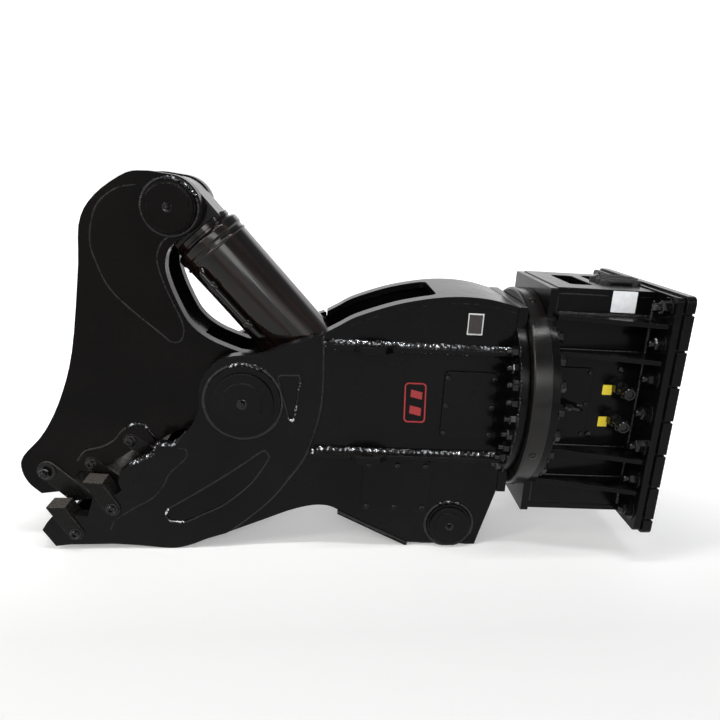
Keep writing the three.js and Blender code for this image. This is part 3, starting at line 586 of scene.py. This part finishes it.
def add_bolt(builder, seat, outward, across, washer=True, turn=0.0):
    """Adds a hex bolt head with a chamfered top, on a flat washer."""
    outward = outward.normalized()
    height = across * 0.62
    base = seat - outward * 0.0012
    if washer:
        rim = across * 0.86
        add_turned(builder, base, outward, [(0, rim), (across * 0.10, rim), (across * 0.12, rim * 0.97)], 20)
        base = base + outward * across * 0.12
    corner = across / 2 / math.cos(math.pi / 6)
    add_turned(builder, base, outward, [
        (0, corner), (height * 0.82, corner), (height, corner * 0.84), (height, corner * 0.5),
        (height * 0.93, corner * 0.42), (height * 0.93, 0),
    ], 6, turn)


def add_socket_screw(builder, seat, outward, radius):
    """Adds a low round screw head with a hex recess."""
    outward = outward.normalized()
    height = radius * 0.7
    add_turned(builder, seat - outward * 0.001, outward, [
        (0, radius), (height * 0.7, radius), (height, radius * 0.8), (height, radius * 0.48),
        (height * 0.45, radius * 0.42), (height * 0.45, 0),
    ], 12)


def resample(points, step):
    """Points at an even spacing along a polyline."""
    points = [Vector(point) for point in points]
    spans = [(b - a).length for a, b in zip(points, points[1:])]
    count = max(2, int(sum(spans) / step))
    result, index, travelled = [], 0, 0.0
    for i in range(count + 1):
        target = sum(spans) * i / count
        while index < len(spans) - 1 and travelled + spans[index] < target:
            travelled += spans[index]
            index += 1
        share = (target - travelled) / max(spans[index], 1e-9)
        result.append(points[index].lerp(points[index + 1], min(1.0, share)))
    return result


def spline(points, steps=8):
    """A smooth curve through the points."""
    points = [Vector(point) for point in points]
    padded = [points[0] * 2 - points[1], *points, points[-1] * 2 - points[-2]]
    result = []
    for a, b, c, d in zip(padded, padded[1:], padded[2:], padded[3:]):
        for i in range(steps):
            t = i / steps
            result.append(0.5 * ((2 * b) + (c - a) * t + (2 * a - 5 * b + 4 * c - d) * t * t
                                 + (3 * b - a - 3 * c + d) * t ** 3))
    return [*result, points[-1]]


def circle_xz(centre, radius, y, start, end, count):
    """Points round a Y axis, angles in degrees from +X towards +Z."""
    return [
        Vector((centre.x + radius * math.cos(a), y, centre.z + radius * math.sin(a)))
        for a in (math.radians(start + (end - start) * i / count) for i in range(count + 1))
    ]


RIPPLE_STEPS = 4
BEAD_CORNERS = 7
BEAD_UNEVENNESS = 0.22
BEAD_SINK = 0.0008


def add_bead(builder, path, outward, size, seed):
    """Adds a weld bead: a low rounded ridge with ripples every few millimetres."""
    width, height, ripple = size
    step = ripple / RIPPLE_STEPS
    points = resample(path, step)
    chance = random.Random(seed)
    outward = outward.normalized()
    wander = 0.0
    rings = []
    for i, point in enumerate(points):
        behind, ahead = points[max(0, i - 1)], points[min(len(points) - 1, i + 1)]
        along = (ahead - behind).normalized()
        side = along.cross(outward).normalized()
        phase = (i * step / ripple) % 1.0
        ridge = 0.72 + 0.28 * math.sin(math.pi * phase)
        if i % RIPPLE_STEPS == 0:
            wander = wander * 0.6 + chance.uniform(-BEAD_UNEVENNESS, BEAD_UNEVENNESS)
        taper = min(1.0, (min(i, len(points) - 1 - i) + 1.0) / 3.0)
        half = width / 2 * (1 + wander * 0.5) * taper
        top = height * ridge * (1 + wander) * taper
        ring = []
        for k in range(BEAD_CORNERS):
            angle = math.pi * k / (BEAD_CORNERS - 1)
            lift = math.sin(angle) * top - BEAD_SINK
            ring.append(builder.verts.new(point + side * half * math.cos(angle) + outward * lift))
        rings.append(ring)
    for low, high in zip(rings, rings[1:]):
        for k in range(BEAD_CORNERS):
            j = (k + 1) % BEAD_CORNERS
            builder.faces.new((low[k], low[j], high[j], high[k]))
    for ring in (rings[0], rings[-1]):
        builder.faces.new(ring)


def weld_piece(name, beads, material, body):
    """One object of several weld beads: (path, outward, size)."""
    builder = bmesh.new()
    for number, (path, outward, size) in enumerate(beads):
        add_bead(builder, path, outward, size, f"{name}{number}")
    finish_piece(name, builder, material, body, smooth_angle=80)


def add_tube(builder, points, radius, sides=14):
    """Adds a round tube along a path, closed at both ends."""
    rings = []
    side = None
    for i, point in enumerate(points):
        behind, ahead = points[max(0, i - 1)], points[min(len(points) - 1, i + 1)]
        along = (ahead - behind).normalized()
        if side is None:
            side, _ = axes_along(along)
        side = (side - along * side.dot(along)).normalized()
        up = along.cross(side)
        rings.append([
            builder.verts.new(point + (side * math.cos(a) + up * math.sin(a)) * radius)
            for a in (2 * math.pi * k / sides for k in range(sides))
        ])
    for low, high in zip(rings, rings[1:]):
        for k in range(sides):
            j = (k + 1) % sides
            builder.faces.new((low[k], low[j], high[j], high[k]))
    builder.faces.new(rings[0])
    builder.faces.new(rings[-1])


def on_side(points, y):
    """Turns (x, z) millimetres into points on a side face."""
    return [Vector((x * MM, y * MM, z * MM)) for x, z in points]


def add_sheet(builder, outline, outward, thickness):
    """Adds a thin plate: a flat outline and its thickness."""
    low = [builder.verts.new(point) for point in outline]
    high = [builder.verts.new(point + outward * thickness) for point in outline]
    builder.faces.new(low)
    builder.faces.new(high)
    for i in range(len(low)):
        j = (i + 1) % len(low)
        builder.faces.new((low[i], low[j], high[j], high[i]))


def inset(box, x_margin, z_margin):
    """A smaller (x low, x high, z low, z high) inside a box."""
    x_low, x_high, z_low, z_high = box
    return x_low + x_margin, x_high - x_margin, z_low + z_margin, z_high - z_margin


def rounded_outline(box, radius, y, lean=0.0):
    """Rounded rectangle on a side face, in millimetres. lean shifts its top along X."""
    x_low, x_high, z_low, z_high = box
    corners = ((x_high - radius, z_low + radius, -90), (x_high - radius, z_high - radius, 0),
               (x_low + radius, z_high - radius, 90), (x_low + radius, z_low + radius, 180))
    points = []
    for x, z, start in corners:
        for i in range(7):
            angle = math.radians(start + 15 * i)
            px, pz = x + radius * math.cos(angle), z + radius * math.sin(angle)
            points.append((px + lean * (pz - z_low) / (z_high - z_low), pz))
    return on_side(points, y)


# ---- fasteners -------------------------------------------------------------------------

FRAME_BOLT_CIRCLE = 0.286
HEAD_BOLT_CIRCLE = 0.302
FLANGE_BOLT_Y = 0.258
FLANGE_BOLT_PITCH = 0.108
COVER_SCREW_RADIUS = 0.0085
HEAD_COVER_SCREW_RADIUS = 0.0075

# places on the sides, (x, z) in millimetres
REAR_COVER_SCREWS = [(x, z) for x in (-657, -513) for z in (72, -18, -108)]
FRONT_COVER_SCREWS = [(x, z) for x in (-882, -792, -702) for z in (-224, -370)]
HEAD_COVER_SCREWS = [(x, z) for x in (-326, -218) for z in (-96, 5, 106)]
FIXED_TOOTH_BOLTS = [(-1806, -500), (-1688, -408)]
MOVING_TOOTH_BOLTS = [(-1772, -290), (-1645, -205)]
FRONT_TOOTH_NUT = [(-1914, -322)]


def ring_seat(x, side, radius, degrees):
    """A place on a bolt circle round the slewing axis, counted from the side of the ring."""
    angle = math.radians(degrees)
    return Vector((x, side * radius * math.cos(angle), radius * math.sin(angle)))


def add_ring_bolts():
    """Bolts that clamp the slewing ring to the frame's end plate and to the head."""
    end_plate_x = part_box("frame_end_plate")[0][0]
    stud = chamfered(0.009, 0.034, 0.002, 0.0015, start=0.01)
    builder = bmesh.new()
    for side in (NEAR, FAR):
        for k in range(9):
            seat = ring_seat(end_plate_x, side, FRAME_BOLT_CIRCLE, -44.4 + 10.2 * k)
            add_bolt(builder, seat, FORWARD, 0.030, turn=0.3 * k)
            add_turned(builder, seat, FORWARD, stud, 12)
    finish_piece("ring_bolts_frame", builder, PIN, "frame")
    plate_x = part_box("head_front_plate")[1][0]
    builder = bmesh.new()
    for side in (NEAR, FAR):
        for k in range(7):
            seat = ring_seat(plate_x, side, HEAD_BOLT_CIRCLE, -40 + 14.4 * k)
            add_bolt(builder, seat, REARWARD, 0.032, turn=0.5 * k)
    finish_piece("ring_bolts_head", builder, PIN, "head")


def add_flange_bolts():
    """Bolt and nut pairs down both edges of the mounting flange."""
    flange_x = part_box("head_flange")[0][0]
    stud = chamfered(0.012, 0.038, 0.003, 0.0025, start=0.015)
    builder = bmesh.new()
    for side in (NEAR, FAR):
        for row in range(-3, 4):
            seat = Vector((flange_x, side * FLANGE_BOLT_Y, row * FLANGE_BOLT_PITCH + 0.008))
            add_bolt(builder, seat, FORWARD, 0.036, turn=0.4 * row)
            add_turned(builder, seat, FORWARD, stud, 14)
    finish_piece("flange_bolts", builder, PIN, "head")


def add_cover_screws():
    """Socket screws of the inspection covers."""
    jobs = (
        ("cover_rear_near_screws", NEAR, COVER_Y, REAR_COVER_SCREWS, COVER_SCREW_RADIUS, "frame"),
        ("cover_rear_far_screws", FAR, COVER_Y, REAR_COVER_SCREWS, COVER_SCREW_RADIUS, "frame"),
        ("cover_front_screws", NEAR, COVER_Y, FRONT_COVER_SCREWS, COVER_SCREW_RADIUS, "frame"),
        ("head_cover_screws", NEAR, HEAD_COVER_Y, HEAD_COVER_SCREWS, HEAD_COVER_SCREW_RADIUS, "head"),
    )
    for name, side, y, places, radius, body in jobs:
        builder = bmesh.new()
        for seat in on_side(places, side * y):
            add_socket_screw(builder, seat, Vector((0, side, 0)), radius)
        finish_piece(name, builder, PIN, body)


def add_tooth_bolts():
    """Bolts through the replaceable teeth. Only the front moving tooth has a hex nut."""
    fixed_washer = chamfered(0.019, 0.003, 0.001, 0.0015)
    moving_washer = chamfered(0.0185, 0.004, 0.001, 0.0015)
    nut_washer = chamfered(0.029, 0.004, 0.001, 0.002)
    nut_stud = chamfered(0.010, 0.031, 0.002, 0.002, start=0.02)
    for side, tag in ((NEAR, "near"), (FAR, "far")):
        outward = Vector((0, side, 0))
        builder = bmesh.new()
        for seat in on_side(FIXED_TOOTH_BOLTS, side * (CHEEK_Y + 6)):
            add_turned(builder, seat - outward * 0.001, outward, fixed_washer, 24)
            add_socket_screw(builder, seat + outward * 0.003, outward, 0.0145)
        finish_piece(f"fixed_tooth_bolts_{tag}", builder, PIN, "frame")
        builder = bmesh.new()
        for seat in on_side(MOVING_TOOTH_BOLTS, side * WEAR_PLATE_Y):
            add_turned(builder, seat - outward * 0.002, outward, moving_washer, 24)
            add_socket_screw(builder, seat + outward * 0.003, outward, 0.014)
        for nut in on_side(FRONT_TOOTH_NUT, side * TOOTH_Y):
            add_turned(builder, nut - outward * 0.001, outward, nut_washer, 28)
            add_bolt(builder, nut + outward * 0.004, outward, 0.034, washer=False, turn=0.35)
            add_turned(builder, nut, outward, nut_stud, 14)
        finish_piece(f"moving_tooth_bolts_{tag}", builder, PIN, "moving_jaw")


def add_grease_nipples():
    """A counterbore ring and a grease nipple in the middle of each pin cap."""
    pins = (
        ("main_pin", MAIN, MAIN_CAP_Y, "frame", 0.016),
        ("foot_pin", FOOT, FOOT_CAP_Y, "frame", 0.013),
        ("jaw_pin", JAW_PIN, JAW_CAP_Y, "moving_jaw", 0.014),
    )
    hexagon = chamfered(0.0062, 0.006, 0.001, 0.001)
    nipple = [(0.006, 0.0042), (0.010, 0.0034), (0.012, 0.0043), (0.014, 0.0040), (0.0155, 0.0022),
              (0.016, 0)]
    for name, place, y, body, size in pins:
        ring = [(0, size), (0.003, size), (0.0042, size * 0.86), (0.0030, size * 0.62), (0.0030, 0)]
        builder = bmesh.new()
        for side in (NEAR, FAR):
            outward = Vector((0, side, 0))
            seat = Vector((place.x, side * y * MM, place.z))
            add_turned(builder, seat - outward * 0.002, outward, ring, 28)
            add_turned(builder, seat, outward, hexagon, 6)
            add_turned(builder, seat, outward, nipple, 16)
        finish_piece(f"{name}_nipples", builder, PIN, body, smooth_angle=40)


# ---- welds -----------------------------------------------------------------------------

# outlines on the sides, (x, z) in millimetres
SEAM = [(-1044, 184), (-1042, 101), (-1041, 12), (-1048, -69),
        (-1080, -190), (-1132, -279), (-1209, -380), (-1320, -478)]
INSERT_LINE = [(-1481, -194), (-1455, -199), (-1456, -228), (-1506, -281), (-1524, -320), (-1548, -354),
               (-1572, -377), (-1614, -402), (-1662, -437), (-1686, -458), (-1697, -488)]
TEARDROP = [(-1600, 588), (-1660, 572), (-1716, 520), (-1738, 433), (-1726, 364), (-1675, 266), (-1536, 146),
            (-1510, 126), (-1484, 128), (-1472, 150), (-1476, 190), (-1512, 268), (-1536, 330),
            (-1546, 380), (-1532, 424), (-1508, 446)]
THROAT_STEPS = [(-1632, -258), (-1592, -238), (-1552, -216), (-1540, -184), (-1498, -188), (-1474, -164)]
CRESCENT = [(-1512, -404), (-1521, -424), (-1516, -440), (-1498, -450), (-1462, -452), (-1400, -420),
            (-1337, -385), (-1262, -318), (-1222, -262), (-1200, -222), (-1198, -208), (-1208, -196),
            (-1222, -197), (-1300, -258), (-1400, -330), (-1512, -404)]
KEYHOLE = [(-1176, 48), (-1166, 56), (-1112, 58), (-1108, 46), (-1122, -74), (-1132, -88), (-1142, -74),
           (-1176, 48)]
GLINTING_STRETCHES = (CRESCENT[:5], KEYHOLE[3:7])
BELLY_EDGE = [(-974, -398), (-850, -457), (-738, -507)]
SKID_EDGE = [(-738, -503), (-518, -503)]
WEAR_PLATE_PEAK = [(-1655, -163), (-1637, -152), (-1603, -152), (-1590, -166)]
WEAR_PLATE_FRONT = [(-1816, -286), (-1790, -250), (-1735, -232), (-1696, -208), (-1670, -175), (-1655, -163)]
WEAR_PLATE_REAR = [(-1590, -166), (-1568, -192)]

# middle height and front end of each rib, and where all ribs end, in millimetres
RIBS = ((160, -1034), (-188, -1058))
RIB_END_X = -470
GUSSET_LEVELS = (280, 170, -145, -250)
GUSSET_ENDS_X = (-346, -58)
HEAD_FRONT_X = -349
HEAD_REAR_X = -56
HEAD_TOP_Z = 340
DECK_SEAM_Z = 346
DECK_SEAMS_X = ((-350, -192), (-100, -54))

# the weld round a boss: centre, radius, face, first and last degree of its glinting top stretch (painted
# glints in the weld paint), points there
MAIN_BOSS = (MAIN, 0.118, CHEEK_Y, 62, 112, 20)
FOOT_BOSS = (FOOT, 0.077, SIDE_Y, 68, 118, 20)
JAW_BOSS = (JAW_PIN, 0.082, JAW_Y, 22, 100, 24)

# width, height and length of a ripple of each kind of bead, in metres
RIB_BEAD = (0.019, 0.0075, 0.0085)
RIB_END_BEAD = (0.016, 0.007, 0.006)
THROAT_BEAD = (0.017, 0.0075, 0.008)
GLINTING_BEAD = (0.0070, 0.0030, 0.005)
MAIN_BOSS_BEAD = (0.013, 0.005, 0.0065)
FOOT_BOSS_BEAD = (0.013, 0.0055, 0.0065)
JAW_BOSS_BEAD = (0.012, 0.0048, 0.0065)
CHEEK_BEAD = (0.014, 0.0045, 0.007)
PLATE_BEAD = (0.014, 0.005, 0.007)
SMALL_PLATE_BEAD = (0.010, 0.004, 0.007)
INSERT_BEAD = (0.0060, 0.0018, 0.005)
CRESCENT_BEAD = (0.0060, 0.0020, 0.005)
KEYHOLE_BEAD = (0.006, 0.0022, 0.005)
TEARDROP_BEAD = (0.0062, 0.0018, 0.005)
WEAR_PLATE_BEAD = (0.011, 0.0055, 0.0065)
GUSSET_BEAD = (0.012, 0.0048, 0.007)
DECK_BEAD = (0.006, 0.0018, 0.006)


def glinting_arc(boss, side):
    """The top stretch of the weld round a boss, laid in the weld paint with painted glints; the bead is the
    same size as the rest.
    """
    centre, radius, face, first, last, count = boss
    return circle_xz(centre, radius, side * face * MM, first, last, count)


def painted_arc(boss, side):
    """The rest of the weld round a boss."""
    centre, radius, face, first, last, _ = boss
    return circle_xz(centre, radius, side * face * MM, last, first + 360, 72)


def diagonal(side, x=0, z=0):
    """A direction half outward and half along X or Z."""
    return Vector((x, side, z)).normalized()


def frame_glinting_beads(side):
    """The weld beads on one side of the frame that carry painted glints: the heavy rib and throat beads, the
    top arcs of the boss welds and two short glinting stretches.
    """
    outward = Vector((0, side, 0))
    beads = []
    for level, start in RIBS:
        for sign in (1, -1):
            z = level + sign * 8.5
            path = on_side([(start + 6, z), (RIB_END_X, z)], side * (SIDE_Y + 2.5))
            beads.append((path, diagonal(side, z=sign), RIB_BEAD))
        end = on_side([(start - 4, level + 9), (start - 4, level - 9)], side * (SIDE_Y + 4))
        beads.append((end, diagonal(side, x=-1), RIB_END_BEAD))
    # the top arcs of the boss welds carry painted glints
    beads.append((glinting_arc(MAIN_BOSS, side), outward, MAIN_BOSS_BEAD))
    beads.append((glinting_arc(FOOT_BOSS, side), outward, FOOT_BOSS_BEAD))
    throat_lean = Vector((0.2, side * 0.4, 1)).normalized()
    beads.append((on_side(THROAT_STEPS, side * (CHEEK_Y - 6)), throat_lean, THROAT_BEAD))
    for stretch in GLINTING_STRETCHES:
        beads.append((spline(on_side(stretch, side * (CHEEK_Y - 0.4)), 5), outward, GLINTING_BEAD))
    return beads


def frame_seams(side):
    """The ground and painted seams on one side of the frame."""
    outward = Vector((0, side, 0))
    return [
        (painted_arc(MAIN_BOSS, side), outward, MAIN_BOSS_BEAD),
        (painted_arc(FOOT_BOSS, side), outward, FOOT_BOSS_BEAD),
        (spline(on_side(SEAM, side * (SIDE_Y + 0.6))), outward, CHEEK_BEAD),
        (on_side(BELLY_EDGE, side * (SIDE_Y - 1)), diagonal(side, z=-1), PLATE_BEAD),
        (on_side(SKID_EDGE, side * (SIDE_Y - 4)), diagonal(side, z=-1), SMALL_PLATE_BEAD),
        (spline(on_side(INSERT_LINE, side * (CHEEK_Y - 0.4)), 5), outward, INSERT_BEAD),
        (spline(on_side(CRESCENT, side * (CHEEK_Y - 0.4)), 5), outward, CRESCENT_BEAD),
        (on_side(KEYHOLE, side * (CHEEK_Y - 0.6)), outward, KEYHOLE_BEAD),
    ]


def jaw_glinting_beads(side):
    """The weld beads on one side of the moving jaw that carry painted glints: the top arc of the boss weld
    and the peak of the wear plate.
    """
    outward = Vector((0, side, 0))
    return [
        (glinting_arc(JAW_BOSS, side), outward, JAW_BOSS_BEAD),
        (spline(on_side(WEAR_PLATE_PEAK, side * (JAW_Y + 2)), 5), outward, WEAR_PLATE_BEAD),
    ]


def jaw_seams(side):
    """The ground and painted seams on one side of the moving jaw."""
    outward = Vector((0, side, 0))
    return [
        (spline(on_side(TEARDROP, side * (JAW_Y - 0.3)), 6), outward, TEARDROP_BEAD),
        (painted_arc(JAW_BOSS, side), outward, JAW_BOSS_BEAD),
        (spline(on_side(WEAR_PLATE_FRONT, side * (JAW_Y + 2)), 5), outward, WEAR_PLATE_BEAD),
        (on_side(WEAR_PLATE_REAR, side * (JAW_Y + 2)), outward, WEAR_PLATE_BEAD),
    ]


def head_beads(side):
    """The weld beads along the gussets and edges of the head."""
    outward = Vector((0, side, 0))
    beads = []
    for level in GUSSET_LEVELS:
        for sign in (1, -1):
            path = on_side([(x, level + sign * 9) for x in GUSSET_ENDS_X], side * (HEAD_Y + 2))
            beads.append((path, diagonal(side, z=sign), GUSSET_BEAD))
    for x, facing, lift, size in ((HEAD_REAR_X, -1, 2, PLATE_BEAD), (HEAD_FRONT_X, 1, 1, SMALL_PLATE_BEAD)):
        path = on_side([(x, HEAD_TOP_Z), (x, -HEAD_TOP_Z)], side * (HEAD_Y + lift))
        beads.append((path, diagonal(side, x=facing), size))
    for ends in DECK_SEAMS_X:
        path = on_side([(x, DECK_SEAM_Z) for x in ends], side * (HEAD_Y - 0.4))
        beads.append((path, outward, DECK_BEAD))
    return beads


def add_welds():
    for side, tag in ((NEAR, "near"), (FAR, "far")):
        # beads in the glinting weld paint carry painted glints; seams stay in the dark seam paint
        weld_piece(f"frame_welds_{tag}", frame_glinting_beads(side), GLINTING_WELD_PAINT, "frame")
        weld_piece(f"frame_seams_{tag}", frame_seams(side), SEAM_PAINT, "frame")
        weld_piece(f"jaw_welds_{tag}", jaw_glinting_beads(side), GLINTING_WELD_PAINT, "moving_jaw")
        weld_piece(f"jaw_seams_{tag}", jaw_seams(side), SEAM_PAINT, "moving_jaw")
        weld_piece(f"head_welds_{tag}", head_beads(side), SEAM_PAINT, "head")


# ---- plates, tags and fittings ---------------------------------------------------------

def ring_between(builder, outer, inner, outward, thickness):
    """Adds a flat frame: the band between two outlines with the same number of points."""
    count = len(outer)
    flat, lifted = Vector(), outward * thickness
    loops = [
        [builder.verts.new(point + offset) for point in outline]
        for outline, offset in ((outer, flat), (inner, flat), (inner, lifted), (outer, lifted))
    ]
    for low, high in zip(loops, loops[1:] + loops[:1]):
        for i in range(count):
            j = (i + 1) % count
            builder.faces.new((low[i], low[j], high[j], high[i]))


# (x low, x high, z low, z high) on the near side, in millimetres
BADGE = (-784, -716, -80, 50)
BADGE_LEAN = -5
NAME_PLATE = (-614, -567, 208, 274)
SIDE_LABEL = (-184, -108, 297, 362)
UPPER_PORT_TAG = (-167, -137, 35, 67)
LOWER_PORT_TAG = (-165, -135, -71, -38)


def add_badge():
    """A blank badge: raised red border with two plain slanted bars."""
    outward = Vector((0, NEAR, 0))
    y = -SIDE_Y - 0.3
    builder = bmesh.new()
    outer = rounded_outline(BADGE, 13, y, BADGE_LEAN)
    inner = rounded_outline(inset(BADGE, 4.5, 4.5), 9, y, BADGE_LEAN)
    ring_between(builder, outer, inner, outward, 0.003)
    for low, high in ((-58, -24), (-4, 28)):
        bar = [(-768, low + 8), (-732, low), (-732, high - 8), (-768, high)]
        add_sheet(builder, on_side(bar, y), outward, 0.0028)
    finish_piece("badge", builder, RED, "frame", bevel=0.0006)
    builder = bmesh.new()
    add_sheet(builder, rounded_outline(inset(BADGE, 5, 5), 9, y, BADGE_LEAN), outward, 0.0012)
    finish_piece("badge_field", builder, PAINT, "frame")


def add_name_plate():
    """A blank data plate: silver rim, dark field, four rivets."""
    outward = Vector((0, NEAR, 0))
    y = -SIDE_Y - 0.3
    field = inset(NAME_PLATE, 2, 2)
    rivet = [(0, 0.0028), (0.0012, 0.0024), (0.0020, 0.0012), (0.0022, 0)]
    builder = bmesh.new()
    outer = rounded_outline(NAME_PLATE, 3, y)
    inner = rounded_outline(inset(NAME_PLATE, 3, 4), 2, y)
    ring_between(builder, outer, inner, outward, 0.0022)
    for seat in on_side([(x, z) for x in field[:2] for z in field[2:]], y - 1.6):
        add_turned(builder, seat, outward, rivet, 12)
    finish_piece("name_plate_rim", builder, SILVER, "frame")
    builder = bmesh.new()
    add_sheet(builder, rounded_outline(field, 2, y), outward, 0.0012)
    finish_piece("name_plate_field", builder, DARK_FIELD, "frame")


def add_labels():
    """Blank sticker and two blank port tags on the head."""
    jobs = (
        ("side_label", WHITE, SIDE_LABEL),
        ("port_tag_upper", YELLOW, UPPER_PORT_TAG),
        ("port_tag_lower", YELLOW, LOWER_PORT_TAG),
    )
    for name, material, box in jobs:
        builder = bmesh.new()
        add_sheet(builder, rounded_outline(box, 2, -HEAD_Y - 0.05), Vector((0, NEAR, 0)), 0.0008)
        finish_piece(name, builder, material, "head")


def add_port_caps():
    """A hex neck, a hex collar and a dished cap on each of the two ports."""
    outward = Vector((0, NEAR, 0))
    neck = [(0, 0.0155), (0.013, 0.0155), (0.013, 0.0235)]
    collar = chamfered(0.0235, 0.014, 0.002, 0.002)
    cap = [(0, 0.0165), (0.004, 0.0185), (0.016, 0.0185), (0.018, 0.017), (0.018, 0.012), (0.014, 0.010),
           (0.014, 0)]
    builder = bmesh.new()
    for node in ("port_upper", "port_lower"):
        low, high = (Vector(corner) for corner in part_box(node))
        axis = Vector(((low.x + high.x) / 2, low.y, (low.z + high.z) / 2))
        add_turned(builder, axis - outward * 0.022, outward, neck, 6)
        add_turned(builder, axis - outward * 0.010, outward, collar, 6, 0.3)
        add_turned(builder, axis + outward * 0.005, outward, cap, 24)
    finish_piece("port_caps", builder, PIN, "head", smooth_angle=30)


def add_elbow_and_plugs():
    """A hose elbow between the ports and three hex plugs round it."""
    outward = Vector((0, NEAR, 0))
    route = ((-0.236, -0.178, -0.010), (-0.236, -0.196, -0.010), (-0.243, -0.208, -0.008),
             (-0.258, -0.212, -0.004), (-0.286, -0.213, 0.004))
    swivel_nut = [(0, 0.0115), (0.012, 0.0115), (0.013, 0.0095), (0.022, 0.0085), (0.024, 0.006)]
    elbow_nut = chamfered(0.014, 0.012, 0.001, 0.002)
    plug = chamfered(0.010, 0.007, 0.001, 0.002)
    builder = bmesh.new()
    add_tube(builder, spline(route, 6), 0.0075)
    add_turned(builder, Vector((-0.236, -0.176, -0.010)), outward, elbow_nut, 6)
    add_turned(builder, Vector((-0.272, -0.2125, 0.0)), Vector((-1, 0, 0.2)), swivel_nut, 6)
    for x, z in ((-0.215, 0.098), (-0.190, -0.098), (-0.120, 0.118)):
        add_turned(builder, Vector((x, -0.176, z)), outward, plug, 6)
    finish_piece("head_elbow_and_plugs", builder, PIN, "head", smooth_angle=30)


def add_bent_pipes():
    """Pipes that rise just above the rear hatch and turn down into the deck."""
    nut = [(0, 0.016), (0.001, 0.017), (0.015, 0.017), (0.016, 0.015)]
    builder = bmesh.new()
    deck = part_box("head_top_deck")[1][2]
    for y, reach, rise in ((-0.052, 0.120, 0.008), (-0.020, 0.124, 0.012), (0.030, 0.118, 0.009)):
        start = Vector((-0.160, y, deck - 0.06))
        half_up, top = 0.060 + rise * 0.55, 0.060 + rise
        route = ((0, 0, 0), (0, 0, 0.055), (0.006, 0, half_up), (0.030, 0, top), (reach - 0.035, 0.004, top),
                 (reach - 0.014, 0.006, half_up), (reach - 0.008, 0.006, 0.050))
        path = spline([start + Vector(step) for step in route], 6)
        add_tube(builder, path, 0.0105)
        for centre in (path[9], path[-9]):
            add_turned(builder, centre - Vector((0, 0, 0.008)), Vector((0, 0, 1)), nut, 6)
    finish_piece("head_pipes", builder, RUBBER, "head", smooth_angle=40)


def add_race_plugs():
    """Grease plugs round the outer race."""
    plug = [(0, 0.0115), (0.0025, 0.0115), (0.0035, 0.010), (0.0035, 0.006), (0.0018, 0.0055), (0.0018, 0)]
    builder = bmesh.new()
    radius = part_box("slew_outer_race")[1][2]
    for degrees in (202.5, 245, 338, 20, 110):
        angle = math.radians(degrees)
        outward = Vector((0, math.cos(angle), math.sin(angle)))
        seat = Vector((-0.404, 0, 0)) + outward * (radius - 0.0015)
        add_turned(builder, seat, outward, plug, 20)
    finish_piece("race_plugs", builder, PIN, "head")


SECOND_COLLAR_AT = 0.098
WELD_RING_AT = 0.168
CLAMPS_AT = (0.250, 0.405)
PIPE_RADIUS = 0.0110
PIPE_ACROSS = -0.066
PIPE_Y = -0.1025


def cylinder_place(along, across, y):
    """A point beside the cylinder's axis, in metres from the jaw pin."""
    axis = (FOOT - JAW_PIN).normalized()
    upward = Vector((-axis.z, 0, axis.x))
    return JAW_PIN + axis * along + upward * across + Vector((0, y, 0))


def add_barrel_details():
    """A second collar, a weld ring and an oil pipe with two clamps."""
    axis = (FOOT - JAW_PIN).normalized()
    collar = [(0, 0.080), (0, 0.098), (0.003, 0.101), (0.016, 0.101), (0.018, 0.098), (0.0245, 0.098),
              (0.0245, 0.080)]
    weld_ring = [(0, 0.104), (0, 0.1122), (0.002, 0.1135), (0.007, 0.1135), (0.009, 0.1122), (0.009, 0.104)]
    clamp = [(0, 0.0112), (0, 0.0145), (0.002, 0.0155), (0.022, 0.0155), (0.024, 0.0145), (0.024, 0.0112)]
    builder = bmesh.new()
    add_turned(builder, cylinder_place(SECOND_COLLAR_AT, 0, 0), axis, collar, 64)
    add_turned(builder, cylinder_place(WELD_RING_AT, 0, 0), axis, weld_ring, 64)
    finish_piece("barrel_collars", builder, BARREL_PAINT, "cylinder_barrel", smooth_angle=40)
    builder = bmesh.new()
    route = [(0.186, -0.052, -0.082), (0.198, -0.062, -0.097), (0.216, PIPE_ACROSS, PIPE_Y),
             (0.300, PIPE_ACROSS, PIPE_Y), (0.440, PIPE_ACROSS, PIPE_Y),
             (0.462, -0.062, -0.097), (0.476, -0.052, -0.082)]
    add_tube(builder, spline([cylinder_place(*place) for place in route]), PIPE_RADIUS, 18)
    for along in CLAMPS_AT:
        centre = cylinder_place(along, PIPE_ACROSS, PIPE_Y)
        add_turned(builder, centre - axis * 0.012, axis, clamp, 20)
    finish_piece("barrel_pipe", builder, BARREL_PAINT, "cylinder_barrel", smooth_angle=40)


add_camera()
add_floor()
add_studio()
for node_name, node_object in NODES.items():
    dress_node(node_name, node_object)
add_ring_bolts()
add_flange_bolts()
add_cover_screws()
add_tooth_bolts()
add_grease_nipples()
add_welds()
add_badge()
add_name_plate()
add_labels()
add_port_caps()
add_elbow_and_plugs()
add_bent_pipes()
add_race_plugs()
add_barrel_details()
